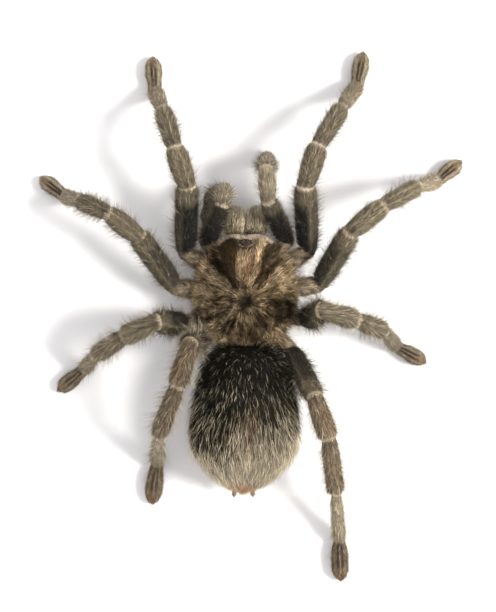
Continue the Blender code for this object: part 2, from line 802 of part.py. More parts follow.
def make_jaws(coats, room, draw):
    """Each jaw bulges forward from under the head, and its fang folds back below it."""
    for side in ("left", "right"):
        rings = []
        for out, back, up, half_width, half_height, pitch in JAW_STATIONS:
            along, dorsal = aim(side, 0, pitch)
            centre = Vector((outward(side) * out, back, up))
            rings.append(ring(centre, along.cross(dorsal), dorsal, half_width, half_height, JAW_SIDES))
        jaw = make_object(f"chelicera_{side}", loft(rings), coats["grey"])
        coat_jaw(jaw, Skin(rings), side, coats["grey"], room, draw)
        out, back, up = JAW_STATIONS[-1][:3]
        pitch = JAW_STATIONS[-1][5]
        along, dorsal = aim(side, 0, pitch)
        root = Vector((outward(side) * out, back, up)) + along * GAP
        pivot = root - dorsal * FANG_BEND_RADIUS
        rings = []
        for i, radius in enumerate(FANG_RADII):
            turn = math.radians(FANG_TURN * i / (len(FANG_RADII) - 1))
            spoke = dorsal * math.cos(turn) + along * math.sin(turn)
            centre = pivot + spoke * FANG_BEND_RADIUS
            rings.append(ring(centre, along.cross(dorsal), spoke, radius, radius, FANG_SIDES))
        make_object(f"fang_{side}", loft(rings), coats["black"])


def coat_jaw(jaw, skin, side, material, room, draw):
    """The locks on the front of a jaw, which lie forward and down over it."""
    count, length, width, lift = JAW_COAT
    between_jaws = (Vector((0, 0, 0)), Vector((-outward(side), 0, 0)))
    owner = Owner(f"chelicera_{side}", planes=[between_jaws])
    radius = JAW_STATIONS[3][3]
    shapes = []
    for i in range(count):
        share = (i + 0.5) / count
        distance = JAW_COAT_REACH[0] + (JAW_COAT_REACH[1] - JAW_COAT_REACH[0]) * share
        low, high = JAW_COAT_TURNS
        turn = low + (high - low) * ((i * LOCK_TURN / 360) % 1)
        point, onward, out = skin.place(distance, turn)
        shape = grow_lock(room, draw, point, out, onward, radius, (length, width, lift), owner)
        if shape:
            shapes.append(shape)
    fuse_locks(jaw, shapes, material)


def make_pedicel(coats):
    """The narrow waist between the breast plate and the abdomen."""
    start = max(hip_root_back("left"), hip_root_back("right")) + GAP
    end = ABDOMEN_STATIONS[0][0] - GAP
    side, up = Vector((1, 0, 0)), Vector((0, 0, 1))
    rings = []
    for back, share in ((start, 1.0), ((start + end) / 2, 0.85), (end, 1.0)):
        centre = Vector((0, back, PEDICEL_MIDDLE))
        rings.append(ring(centre, side, up, PEDICEL_RADII[0] * share, PEDICEL_RADII[1] * share, 12))
    make_object("pedicel", loft(rings), coats["grey"])


def hip_root_back(side):
    """How far back the breast plate's hindmost corner on a side lies."""
    out, back, half = HIP_ROOTS["leg_4"]
    start = LEG_POSES["leg_4", side][0]
    level = Vector((start[0] - out, start[1] - back)).normalized()
    return back + half * level.x


def make_abdomen(coats, room, draw):
    """The abdomen, with tiers of long locks that lie backward over it."""
    side, up = Vector((1, 0, 0)), Vector((0, 0, 1))
    rings = []
    for back, half_width, half_height, middle in ABDOMEN_STATIONS:
        centre = Vector((abdomen_swing(back), back, middle))
        rings.append(ring(centre, side, up, half_width, half_height, ABDOMEN_SIDES))
    item = make_object("abdomen", loft(rings), coats["dark"])
    skin = Skin(rings)
    owner = Owner("abdomen")
    near, far, low = SPINNERET_CLEAR
    shapes = []
    for tier, back in enumerate(ABDOMEN_TIERS):
        half_width, half_height, middle = abdomen_sizes(back)
        radius = (half_width + half_height) / 2
        count = round(2 * math.pi * radius / ABDOMEN_LOCK_SPACING)
        straight = ABDOMEN_LIE * ease(back, *ABDOMEN_LIE_REACH)
        for i in range(count):
            turn = 360 * (i + 0.5 * (tier % 2)) / count + draw.uniform(-6, 6)
            distance = abdomen_distance(skin, back) + draw.uniform(-1.2, 1.2)
            point, _, out = skin.place(distance, turn)
            along = (skin.point(distance + 0.7 * ABDOMEN_COAT[0], turn) - point).normalized()
            lie = (along * (1 - straight) + Vector((0, straight, 0))).normalized()
            if abs(point.x - ABDOMEN_SWING) < near and point.y > far and point.z < low:
                continue
            shape = grow_lock(room, draw, point, out, lie, radius, ABDOMEN_COAT, owner)
            if shape:
                shapes.append(shape)
    fuse_locks(item, shapes, coats["dark"])


def abdomen_distance(skin, back):
    """The distance along the abdomen's skin of a place this far back from the pit."""
    for (near, far), reach in zip(zip(skin.centres, skin.centres[1:]), zip(skin.reach, skin.reach[1:])):
        if back <= far.y:
            return reach[0] + (reach[1] - reach[0]) * (back - near.y) / (far.y - near.y)
    return skin.reach[-1]


def make_spinnerets(coats):
    """The two long spinnerets, each of three segments that narrow like a telescope."""
    for side in ("left", "right"):
        x_sign = outward(side)
        out, back, up = SPINNERET_ROOT
        root = Vector((x_sign * out + ABDOMEN_SWING, back, up))
        normal = Vector(SPINNERET_ROOT_NORMAL)
        normal.x *= x_sign
        normal.normalize()
        along, dorsal = aim(side, 180 - SPINNERET_SPREAD, SPINNERET_PITCH)
        across = along.cross(dorsal)
        tilted_up = normal.cross(across).normalized()
        if tilted_up.z < 0:
            tilted_up.negate()
        root_half = SPINNERET_RADIUS * 0.9
        rings = [ring(root, across, tilted_up, root_half, root_half, SPINNERET_SIDES)]
        for share, width in SPINNERET_PROFILE:
            half = SPINNERET_RADIUS * width
            centre = root + along * (SPINNERET_LENGTH * share)
            rings.append(ring(centre, across, dorsal, half, half, SPINNERET_SIDES))
        make_object(f"spinneret_{side}", loft(rings), coats["orange"])


def centre_on_floor():
    """Moves every piece so that the middle of the whole box stands on the origin."""
    low = Vector((math.inf,) * 3)
    high = Vector((-math.inf,) * 3)
    for item in bpy.context.scene.collection.objects:
        for vertex in item.data.vertices:
            for axis in range(3):
                low[axis] = min(low[axis], vertex.co[axis])
                high[axis] = max(high[axis], vertex.co[axis])
    shift = Vector(((low.x + high.x) / -2, (low.y + high.y) / -2, -low.z))
    for item in bpy.context.scene.collection.objects:
        for vertex in item.data.vertices:
            vertex.co += shift


def main():
    clear_scene()
    coats = {
        "dark": make_material("dark_coat", (0.03, 0.028, 0.024), 0.8),
        "grey": make_material("grey_coat", (0.2, 0.18, 0.13), 0.8),
        "bronze": make_material("bronze_down", (0.22, 0.15, 0.07), 0.6),
        "black": make_material("black_horn", (0.008, 0.007, 0.006), 0.2),
        "orange": make_material("orange_down", (0.35, 0.16, 0.06), 0.8),
    }
    chains = all_chains()
    room = Room(chains)
    draw = random.Random(LOCK_SEED)
    for (limb, side), chain in chains.items():
        make_limb(limb, side, chain, coats, room, draw)
    make_carapace(coats)
    make_eye_hill(coats)
    make_underbody(chains, coats)
    make_jaws(coats, room, draw)
    make_pedicel(coats)
    make_abdomen(coats, room, draw)
    make_spinnerets(coats)
    centre_on_floor()


main()
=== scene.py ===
"""The looks of a life-size Brazilian black tarantula that stands still on its eight legs.

Lengths are in millimetres, round the pit in the middle of the spider's back at X = 0 and Y = 0, with
its head towards -Y and its left side at +X. They become metres where a mesh is made.
Every skin is a grid of rings, and each hair takes its place, its lie and its marks from that grid.
"""

import math
from collections import namedtuple

import bpy
import numpy as np
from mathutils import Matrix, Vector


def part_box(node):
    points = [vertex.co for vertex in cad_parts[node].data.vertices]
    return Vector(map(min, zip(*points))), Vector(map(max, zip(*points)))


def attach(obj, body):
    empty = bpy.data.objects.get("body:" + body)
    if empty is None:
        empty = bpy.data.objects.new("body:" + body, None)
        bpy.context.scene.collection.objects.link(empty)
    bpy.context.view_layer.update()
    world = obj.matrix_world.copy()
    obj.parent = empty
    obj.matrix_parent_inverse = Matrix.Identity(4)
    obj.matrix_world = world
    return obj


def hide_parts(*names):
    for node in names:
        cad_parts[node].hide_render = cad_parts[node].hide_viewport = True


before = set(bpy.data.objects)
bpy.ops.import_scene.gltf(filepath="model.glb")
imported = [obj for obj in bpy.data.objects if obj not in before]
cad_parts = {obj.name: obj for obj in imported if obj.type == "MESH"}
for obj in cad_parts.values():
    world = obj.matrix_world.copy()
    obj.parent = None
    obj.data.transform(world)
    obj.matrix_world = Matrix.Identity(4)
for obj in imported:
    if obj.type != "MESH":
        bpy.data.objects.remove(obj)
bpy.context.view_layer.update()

X_AXIS, Y_AXIS, Z_AXIS = np.eye(3)
SIDES = ("left", "right")

# The CAD frame's place of the pit: the carapace is symmetric, and its rear edge is this far behind it
CARAPACE_REAR = 10.4
carapace_low, carapace_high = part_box("carapace")
PIT = np.array([(carapace_low[0] + carapace_high[0]) / 2, carapace_high[1] - CARAPACE_REAR / 1000, 0.0])

# Heights above the floor that the limbs pass through
HIP_ROOT_HEIGHT = 6.2
FEMUR_START_HEIGHT = 8.7
ANKLE_HEIGHT = 2.35
TARSUS_PITCH = -3.0

# Lengths of each leg's femur, patella, tibia, metatarsus and tarsus
LEG_LENGTHS = {
    "leg_1": (18.2, 10.6, 13.0, 11.7, 8.4),
    "leg_2": (17.0, 10.6, 12.0, 11.0, 7.6),
    "leg_3": (15.0, 9.8, 10.4, 11.2, 8.3),
    "leg_4": (18.2, 10.9, 15.2, 16.9, 10.2),
}
# Half widths, with the coat, of each leg's hip, femur, patella, tibia, metatarsus and tarsus
LEG_WIDTHS = {
    "leg_1": (2.3, 3.3, 3.0, 2.65, 2.2, 2.3),
    "leg_2": (2.4, 3.2, 2.85, 2.55, 2.1, 2.2),
    "leg_3": (2.2, 3.35, 2.9, 2.6, 1.95, 2.2),
    "leg_4": (2.2, 3.0, 2.8, 2.5, 1.85, 2.4),
}
PALP_LENGTHS = (13.0, 8.0, 8.4, 6.4)
PALP_WIDTHS = (1.8, 2.6, 2.4, 2.3, 2.15)

# Where each femur starts, outward and back, with the headings of its segments and their pitches
LIMB_POSES = {
    ("leg_1", "left"): ((15.0, -12.0), (-2, 18, 18, 22, 4), (27, 21, -39)),
    ("leg_1", "right"): ((15.6, -12.4), (-3, 17, 32, 34, 11), (31, -2, -28)),
    ("leg_2", "left"): ((17.5, -3.2), (36, 52, 66, 71, 53), (24, 32, -47)),
    ("leg_2", "right"): ((18.3, -4.0), (31, 51, 61, 72, 51), (29, 8, -33)),
    ("leg_3", "left"): ((15.4, 5.9), (86, 114, 123, 139, 130), (64, -26, -31)),
    ("leg_3", "right"): ((15.4, 4.9), (55, 106, 111, 140, 119), (74, -22, -43)),
    ("leg_4", "left"): ((11.5, 10.3), (105, 163, 159, 175, 173), (83, -11, -28)),
    ("leg_4", "right"): ((11.5, 12.6), (154, 161, 172, 175, 178), (46, -9, -24)),
    ("palp", "left"): ((9.9, -14.3), (-24, -7, 122, 172), (42, -56, -62, -9)),
    ("palp", "right"): ((10.5, -14.5), (-26, -4, 4, 10), (32, -4, -76, -75)),
}
# Where each hip leaves the breast plate, outward and back
HIP_ROOTS = {
    "palp": (2.6, -8.6),
    "leg_1": (4.6, -5.0),
    "leg_2": (5.1, -1.6),
    "leg_3": (4.9, 2.3),
    "leg_4": (3.8, 6.0),
}
# How each limb looks: the black of its femur, where that ends towards the rear, the black beyond, the
# dark of worn patches, the pale of its metatarsus, and the dark and the warmth of its tarsus
LIMB_LOOKS = {
    # Leg 1's two sides differ partly as painted light: the right femur's outer flank, which faces the key
    # light, is painted paler, and the shaded left one's black band wider and darker
    ("leg_1", "left"): (1.0, -0.52, 0.72, 0.02, 0.46, 0.0, 0.12),
    ("leg_1", "right"): (1.0, -0.34, 0.5, 0.16, 0.46, 0.0, 0.12),
    ("leg_2", "left"): (0.74, -0.34, 0.6, 0.12, 0.66, 0.0, 0.2),
    ("leg_2", "right"): (0.82, -0.34, 0.6, 0.03, 0.66, 0.0, 0.2),
    ("leg_3", "left"): (0.94, -0.34, 0.62, 0.0, 0.4, 0.34, 0.45),
    ("leg_3", "right"): (0.94, -0.34, 0.62, 0.28, 0.4, 0.34, 0.45),
    ("leg_4", "left"): (0.88, -0.34, 0.66, 0.26, 0.8, 0.42, 0.8),
    ("leg_4", "right"): (0.88, -0.34, 0.66, 0.12, 0.8, 0.42, 0.8),
    ("palp", "left"): (1.0, -0.95, 0.5, 0.0, 0.0, 0.0, 0.1),
    ("palp", "right"): (1.0, -0.95, 0.5, 0.0, 0.0, 0.0, 0.1),
}
# How a limb's segments are counted; a palp has no metatarsus, so its tarsus has that number
HIP, FEMUR, PATELLA, TIBIA, METATARSUS = range(5)
HIP_SUNK = 2.2
HIP_SUNK_RADIUS = 1.1
HIP_SUNK_PLACE = -0.2
HIP_SKIN_SHARE = 0.9
HIP_PROFILE = ((-0.1, 0.62), (0.12, 0.7), (0.34, 0.86), (0.52, 0.97), (0.6, 0.84), (0.78, 0.98), (0.95, 0.9))

# The skin's half width as a share of the coated one, along each segment between its slanted ends
SKIN_SHARE = 0.76
SKIN_PROFILES = {
    "femur": ((0.0, 0.88), (0.1, 0.95), (0.35, 1.0), (0.72, 1.02), (0.92, 1.02), (1.0, 0.97)),
    "patella": ((0.0, 0.93), (0.15, 0.98), (0.5, 1.04), (0.85, 1.05), (1.0, 0.99)),
    "tibia": ((0.0, 0.9), (0.14, 0.95), (0.5, 1.0), (0.86, 1.02), (1.0, 0.97)),
    "metatarsus": ((0.0, 0.84), (0.2, 0.91), (0.6, 0.98), (0.88, 1.06), (1.0, 1.0)),
    "tarsus": ((0.03, 0.88), (0.2, 1.0), (0.45, 1.1), (0.7, 1.04)),
}
TIP_PROFILE = ((0.86, 0.86), (0.94, 0.58), (0.98, 0.26))
MEMBRANE_SHARE = 0.72
TARSUS_MEMBRANE_SHARE = 0.74
JOINT_STRETCH = 1.22
END_MARGIN = 0.5
FEMUR_BOW = 0.5
LIMB_SIDES = 36
LIMB_STEP = 0.42

# The carapace's radius round the pit, by degrees from straight ahead
CARAPACE_OUTLINE = (
    (0, 16.1), (18, 16.7), (26, 16.1), (47, 14.0), (75, 12.6),
    (103, 12.1), (130, 12.1), (153, 11.5), (180, 10.4),
)
CARAPACE_BASE = 10.4
CARAPACE_RIM = 11.1
CARAPACE_TOP = 15.2
CLYPEUS_RISE = 1.5
HEAD_BULGE = 0.8
HEAD_EDGE = (30, 42)
PIT_RADIUS = 1.5
PIT_DEPTH = 1.5
GROOVES = (37, 64, 91, 118, 145)
GROOVE_DEPTH = 0.55
GROOVE_WIDTH = 5.0
CARAPACE_EDGE = 0.15
CARAPACE_COAT = 0.3

EYE_HILL = (0.0, -13.9, 14.3)
EYE_HILL_RADII = (1.8, 1.3, 1.35)
EYE_SUNK = 0.1
# Each eye of one side: outward and back from the hill's middle, and its radii across and back
EYES = (
    (0.48, -0.72, 0.36, 0.36),
    (1.2, -0.7, 0.44, 0.32),
    (1.42, 0.28, 0.4, 0.28),
    (0.8, 0.6, 0.34, 0.24),
)

# A jaw's centre line: outward, back and up, its half width and half height, and its pitch
JAW_STATIONS = (
    (2.2, -12.0, 7.2, 1.7, 2.0, 0),
    (2.6, -16.0, 7.1, 2.1, 2.1, 0),
    (2.85, -17.3, 8.7, 2.45, 3.2, 0),
    (2.85, -18.9, 9.0, 2.55, 3.4, -10),
    (2.8, -20.3, 8.1, 2.45, 3.0, -42),
    (2.7, -21.3, 6.3, 2.1, 2.3, -68),
    (2.6, -21.5, 4.7, 1.5, 1.6, -86),
)
JAW_COAT = 0.35
# How pale each jaw starts: partly its own pale, and on the right jaw, which faces the key light, more pale as
# painted light
JAW_PALLOR_AND_PAINTED_LIGHT = {"left": 0.08, "right": 0.32}
FANG_RADII = (0.95, 0.85, 0.7, 0.52, 0.34, 0.08)
FANG_BEND_RADIUS = 3.2
FANG_TURN = 96
FANG_SUNK = 0.5

# A claw's radii from root to tip, the turn between them in degrees, and its reach and drop
CLAW_RADII = (0.2, 0.18, 0.14, 0.09, 0.03)
CLAW_STEP = 22
CLAW_REACH = 0.95
CLAW_DROP = 0.55
# Where a pair of claws is rooted: its share of the tarsus's length, and how far each is from the middle
CLAW_ROOT = 0.93
CLAW_SPREAD = 0.45

# The abdomen's stations: back from the pit, half width, half height and height of its middle
ABDOMEN_STATIONS = (
    (11.4, 2.4, 2.2, 9.6),
    (12.3, 6.0, 4.7, 10.9),
    (14.4, 8.9, 7.3, 12.2),
    (18.2, 10.5, 9.1, 13.0),
    (23.0, 11.9, 10.2, 13.4),
    (28.5, 12.9, 10.6, 13.5),
    (33.5, 13.1, 10.5, 13.5),
    (38.0, 12.2, 9.7, 13.3),
    (41.6, 10.2, 8.3, 12.9),
    (44.4, 7.8, 6.4, 12.3),
    (46.3, 5.1, 4.2, 11.8),
    (47.2, 2.9, 2.4, 11.5),
)
# How far the abdomen's rear swings to the spider's left, and where that begins and ends
ABDOMEN_SWING = 0.5
ABDOMEN_SWING_REACH = (22.0, 38.0)
ABDOMEN_COAT = 0.15
ABDOMEN_SIDES = 56
ABDOMEN_STEP = 0.6
ABDOMEN_TAIL = (0.8, 0.7)
PEDICEL = ((6.5, 2.0, 1.5, 8.3), (8.5, 1.6, 1.25, 8.5), (10.4, 1.5, 1.2, 8.6), (12.6, 2.4, 2.0, 9.4))
# The breast plate's rings from the middle of its underside: height, half width and half length
STERNUM_RINGS = (
    (4.15, 0.3, 0.6),
    (4.2, 2.4, 4.4),
    (4.55, 4.0, 7.4),
    (5.4, 4.9, 8.9),
    (7.2, 5.3, 9.4),
    (10.2, 5.4, 9.5),
    (10.9, 4.6, 8.6),
)
STERNUM_MIDDLE = -1.4
SPINNERET_ROOT = (1.75, 45.0, 7.0)
SPINNERET_PITCH = -12
SPINNERET_SPREAD = 9
SPINNERET_LENGTH = 4.0
SPINNERET_RADIUS = 0.85
SPINNERET_PROFILE = (
    (0.0, 1.0), (0.2, 1.0), (0.38, 0.96), (0.42, 0.82),
    (0.64, 0.84), (0.7, 0.64), (0.92, 0.5), (1.0, 0.2),
)

# How fine the small skins are: the points round them, and the step between their rings or how many
FINENESS = {"jaw": (36, 0.4), "fang": (20, 0.2), "pedicel": (20, 0.5), "spinneret": (20, 0.18)}
CLAW_FINENESS = (10, 0.08)
EYE_FINENESS = (20, 14)
HILL_FINENESS = (40, 24)

# Hairs: how deep roots sink, the least height of a tip, and how wide a patch of OFBake each takes
ROOT_SINK = 0.12
TIP_FLOOR = 0.12
PATCH = 0.0015
DOWN_TRIANGLES = np.array([(0, 1, 2), (1, 0, 3), (2, 1, 3), (0, 2, 3)])
# The three sides of a hair, as pairs of its root's points
STRAND_SIDES = ((0, 1), (1, 2), (2, 0))
STRAND_TRIANGLES = np.array(
    [(0, 1, 2)]
    + [(b, a, a + 3) for a, b in STRAND_SIDES]
    + [(b, a + 3, b + 3) for a, b in STRAND_SIDES]
    + [(b + 3, a + 3, 6) for a, b in STRAND_SIDES]
)
# Each kind of hair: how many, its length and width, its lift and spread in degrees, and if it is bent
Hair = namedtuple("Hair", "count length width lift spread bent")
HAIRS = {
    "limb_down": Hair(11200, 1.4, 0.118, 20, 7, False),
    "limb_hair": Hair(2850, 2.2, 0.088, 22, 7, True),
    "dark_fuzz": Hair(2500, 3.0, 0.078, 34, 13, False),
    "pale_fuzz": Hair(900, 3.0, 0.06, 34, 13, False),
    "rear_dark_fuzz": Hair(1800, 3.0, 0.078, 34, 13, False),
    "rear_pale_fuzz": Hair(1700, 3.0, 0.06, 34, 13, False),
    "femur_hair": Hair(500, 2.1, 0.09, 36, 14, False),
    "palp_femur_hair": Hair(1000, 2.1, 0.09, 36, 14, False),
    "bristles": Hair(420, 3.6, 0.072, 34, 12, True),
    "velvet": Hair(20500, 1.6, 0.15, 34, 14, False),
    "long_velvet": Hair(6000, 2.5, 0.12, 32, 14, True),
    "side_velvet": Hair(1900, 3.3, 0.12, 50, 20, True),
    "front_cream": Hair(3000, 2.9, 0.055, 27, 8, True),
    "rear_cream": Hair(10200, 2.9, 0.064, 27, 11, True),
    "rusty": Hair(300, 2.2, 0.09, 30, 9, True),
    "tail": Hair(1200, 3.2, 0.09, 30, 22, True),
    "carapace_down": Hair(22000, 1.05, 0.13, 24, 18, False),
    "carapace_tufts": Hair(6000, 1.8, 0.1, 28, 20, True),
    "carapace_fringe": Hair(3200, 2.3, 0.09, 26, 28, True),
    "face_band": Hair(2400, 0.75, 0.075, 26, 14, False),
    "behind_eyes": Hair(520, 1.5, 0.1, 46, 22, True),
    "before_eyes": Hair(60, 1.0, 0.05, 36, 20, True),
    "between_eyes": Hair(240, 0.7, 0.06, 50, 60, False),
    "jaw_down": Hair(4200, 1.3, 0.125, 18, 6, False),
    "jaw_hair": Hair(1300, 2.2, 0.1, 22, 8, True),
    "between_jaws": Hair(900, 1.6, 0.12, 50, 16, True),
    "breast_down": Hair(4200, 1.2, 0.16, 24, 14, False),
    "breast_hair": Hair(900, 2.2, 0.13, 34, 14, True),
    "spinneret_down": Hair(900, 0.9, 0.12, 22, 10, False),
}
# The count of a limb's hairs is for a limb of this length
HAIRS_LIMB_LENGTH = 72.0
PALP_HAIR_SCALE = 0.85
# How far from the next joint the hairs of a tarsus count
FREE_END = 9.0
# How much more, in degrees, hairs on a limb's flanks lift than those on its back
FLANK_LIFT = 28
# How much single hairs vary, as shares of their kind's length, lift and width
HAIR_LENGTHS = (0.72, 1.25)
HAIR_LIFTS = (0.7, 1.3)
HAIR_WIDTHS = (0.75, 1.2)
# How much of its lift a bent hair loses beyond its knee, and how far it sways there in degrees
HAIR_CURL = 0.6
HAIR_SWAY = 10
# The part of the unwrap that each of a pair takes where one coat covers both
PAIR_UNWRAP = {"left": (0.0, 0.48), "right": (0.52, 1.0)}
# How far apart the streaks of two surfaces are read
LAYER_STEP = 50.0
MARKS = ("dark", "pale", "flesh", "warm")
SEED = 7

# How a coat is streaked: how closely along it and across it, how strongly, and the shade of the darkest
LIMB_STREAKS = (0.5, 3.2, 1.0, 0.8)
SHIELD_STREAKS = (0.5, 1.7, 1.2, 0.6)
BELLY_STREAKS = (0.2, 1.2, 0.9, 0.7)
# The brightness of a coat's hairs: of a root beside its tip, and of the darkest and the lightest hair
LIMB_TONE = (0.5, 0.58, 2.15)
SHIELD_TONE = (0.45, 0.42, 3.0)
BELLY_TONE = (0.5, 0.5, 2.1)
FLOAT, COLOUR = "NodeSocketFloat", "NodeSocketColor"
WHITE = (1.0, 1.0, 1.0, 1.0)

# The photograph: its size, the pixels of a millimetre, and the pixel over the pit
PHOTO_SIZE = (496, 612)
PHOTO_SCALE = 4.0
PHOTO_PIT = (245.5, 300.0)
FOCUS_HEIGHT = 8.0
CAMERA_HEIGHT = 1000.0
SENSOR_HEIGHT = 24.0

# The floor's half width in metres, and the light: the key's angles are in degrees
FLOOR_HALF = 1.5
FLOOR_COLOUR = (0.93, 0.93, 0.93, 1.0)
KEY_STRENGTH = 3.8
KEY_SOFTNESS = 18
KEY_TILT = 45
KEY_TURN = 5
KEY_COLOUR = (1.0, 0.985, 0.94)
STUDIO_STRENGTH = 0.98
STUDIO_COLOUR = (0.99, 0.97, 0.985, 1.0)


def paint(red, green, blue):
    """A colour from 0 to 255 as the eye sees it, in the linear values that shaders take."""
    linear = []
    for value in (red, green, blue):
        share = value / 255
        linear.append(share / 12.92 if share <= 0.04045 else ((share + 0.055) / 1.055) ** 2.4)
    return (*linear, 1.0)


def unit(vectors):
    return vectors / np.maximum(np.linalg.norm(vectors, axis=-1, keepdims=True), 1e-9)


def ease(x, low, high):
    """Goes smoothly from 0 at low to 1 at high."""
    share = np.clip((np.asarray(x, float) - low) / (high - low), 0.0, 1.0)
    return share * share * (3 - 2 * share)


def span(x, low, high, fall, end):
    """Rises smoothly from 0 at low to 1 at high, and falls from 1 at fall to 0 at end."""
    return ease(x, low, high) * (1 - ease(x, fall, end))


def hump(x, middle, width):
    """1 at the middle, falling off smoothly on both sides."""
    return np.exp(-(((np.asarray(x, float) - middle) / width) ** 2))


def mottle(x, y, size):
    """Smooth random patches of a size, from 0 to 1."""
    total = 0.0
    for finer, weight in ((1.0, 0.6), (2.1, 0.4)):
        u, v = x / size * finer, y / size * finer
        i, j = np.floor(u), np.floor(v)
        right, up = ease(u - i, 0, 1), ease(v - j, 0, 1)
        rows = []
        for b in (0, 1):
            near, far = (np.sin((i + a) * 127.1 + (j + b) * 311.7) * 43758.5453 % 1.0 for a in (0, 1))
            rows.append(near * (1 - right) + far * right)
        total = total + weight * (rows[0] * (1 - up) + rows[1] * up)
    return total


def smooth_through(places, values, x):
    """What a smooth curve through values at rising places has at x."""
    slopes = np.gradient(values, places, axis=0)
    i = np.clip(np.searchsorted(places, x, side="right") - 1, 0, len(places) - 2)
    shape = np.shape(x) + (1,) * (values.ndim - 1)
    width = (places[i + 1] - places[i]).reshape(shape)
    share = (x - places[i]).reshape(shape) / width
    near = (1 + 2 * share) * (1 - share) ** 2 * values[i] + share * (1 - share) ** 2 * width * slopes[i]
    far = share**2 * (3 - 2 * share) * values[i + 1] + share**2 * (share - 1) * width * slopes[i + 1]
    return near + far


def curve(table, x):
    """Values at x on a smooth curve through rising (x, value) pairs."""
    places, values = np.array(table, float).T
    return smooth_through(places, values, np.clip(np.asarray(x, float), places[0], places[-1]))


def outward(side):
    """Which way along X is outward on a side."""
    return 1 if side == "left" else -1


def ring(centre, side, up, half_width, half_height, count):
    """The points of an ellipse round a centre."""
    turn = np.linspace(0, 2 * math.pi, count, endpoint=False)[:, None]
    return centre + side * (half_width * np.cos(turn)) + up * (half_height * np.sin(turn))


def path_lengths(points):
    """How far each point is along the path through all of them."""
    return np.concatenate([[0.0], np.cumsum(np.linalg.norm(np.diff(points, axis=0), axis=1))])


def refine(rings, places, step):
    """Smooth rings at even steps through the given ones, with their places along the skin."""
    rings = np.array(rings)
    reach = path_lengths(rings.mean(axis=1))
    fine = np.linspace(0, reach[-1], max(int(reach[-1] / step), 4))
    return smooth_through(reach, rings, fine), np.interp(fine, reach, places)


class Surface:
    """A skin through rings, with a place along it for each ring and marks for any place and turn."""

    def __init__(self, rings, places, marks, unwrap=(0.0, 1.0)):
        self.points = np.array(rings)
        self.places = np.array(places, float)
        self.marks = marks
        self.unwrap = unwrap
        self.layer = 0.0
        onward = np.gradient(self.points, axis=0)
        around = np.roll(self.points, -1, axis=1) - np.roll(self.points, 1, axis=1)
        out = np.cross(around, onward)
        centres = self.points.mean(axis=1, keepdims=True)
        middle = len(self.points) // 2
        if np.sum(out[middle] * (self.points[middle] - centres[middle])) < 0:
            out = -out
        self.out = unit(out)
        self.onward = unit(onward - self.out * np.sum(onward * self.out, axis=-1, keepdims=True))
        self.reach = path_lengths(centres[:, 0])
        self.girth = np.linalg.norm(around, axis=-1).mean() / 2 * self.points.shape[1]

    def at(self, grid, row, column):
        """The value of a grid at rows and columns with fractions."""
        count = self.points.shape[1]
        i = np.clip(row.astype(int), 0, len(self.points) - 2)
        j = column.astype(int) % count
        down, over = (row - i)[:, None], (column - column.astype(int))[:, None]
        following = (j + 1) % count
        near = grid[i, j] * (1 - over) + grid[i, following] * over
        far = grid[i + 1, j] * (1 - over) + grid[i + 1, following] * over
        return near * (1 - down) + far * down

    def lay(self, reach, turn):
        """Where the streaks of the coat are read: along the skin, round it, and on its layer."""
        return np.stack([reach, turn / (2 * math.pi) * self.girth, np.full(len(turn), self.layer)], axis=1)

    def scatter(self, draw, count, density):
        """Random rows and columns, evenly over the surface or by a density of place and turn."""
        rows, columns = len(self.points) - 1, self.points.shape[1]
        down = self.points[1:] - self.points[:-1]
        over = np.roll(self.points, -1, axis=1)[:-1] - self.points[:-1]
        weight = np.linalg.norm(np.cross(down, over), axis=-1)
        if density is not None:
            place = (self.places[:-1] + self.places[1:])[:, None] / 2 + np.zeros((1, columns))
            turn = (np.arange(columns) + 0.5)[None, :] * (2 * math.pi / columns) + np.zeros((rows, 1))
            weight = weight * np.clip(density(place, turn), 0, None)
        total = np.cumsum(weight.ravel())
        pick = np.searchsorted(total / total[-1], draw.random(count))
        pick = np.minimum(pick, rows * columns - 1)
        return pick // columns + draw.random(count), pick % columns + draw.random(count)

    def shape(self):
        """The closed mesh of the skin: points, triangles, and each point's marks and lay."""
        rows, columns = self.points.shape[:2]
        edge = np.arange(columns)
        following = (edge + 1) % columns
        i = np.arange(rows - 1)[:, None] * columns
        a, b = (i + edge).ravel(), (i + following).ravel()
        first, last = np.full(columns, rows * columns), np.full(columns, rows * columns + 1)
        close = (rows - 1) * columns
        corners = (
            (a, b, b + columns),
            (a, b + columns, a + columns),
            (following, edge, first),
            (close + edge, close + following, last),
        )
        faces = np.concatenate([np.stack(each, axis=1) for each in corners])
        ends = self.points[[0, -1]].mean(axis=1)
        points = np.concatenate([self.points.reshape(-1, 3), ends])
        corners = points[faces]
        if np.sum(corners[:, 0] * np.cross(corners[:, 1], corners[:, 2])) < 0:
            faces = faces[:, ::-1]
        turn = np.concatenate([np.tile(edge * (2 * math.pi / columns), rows), [math.pi / 2, math.pi / 2]])
        place, reach = (np.append(np.repeat(x, columns), x[[0, -1]]) for x in (self.places, self.reach))
        return points, faces, self.marks(place, turn), self.lay(reach, turn)


class Marks(dict):
    """The marks of a surface at some places, from 0 to 1."""

    def __init__(self, place, **given):
        super().__init__({name: np.zeros(np.shape(place)) for name in MARKS})
        for name, value in given.items():
            self[name] = value + np.zeros(np.shape(place))

    def put(self, name, where, value):
        self[name] = np.where(where, value, self[name])

    def lift(self, name, where, value):
        """Puts a value where it is higher."""
        self.put(name, where, np.maximum(self[name], value))


def no_marks(place, turn):
    return Marks(place)


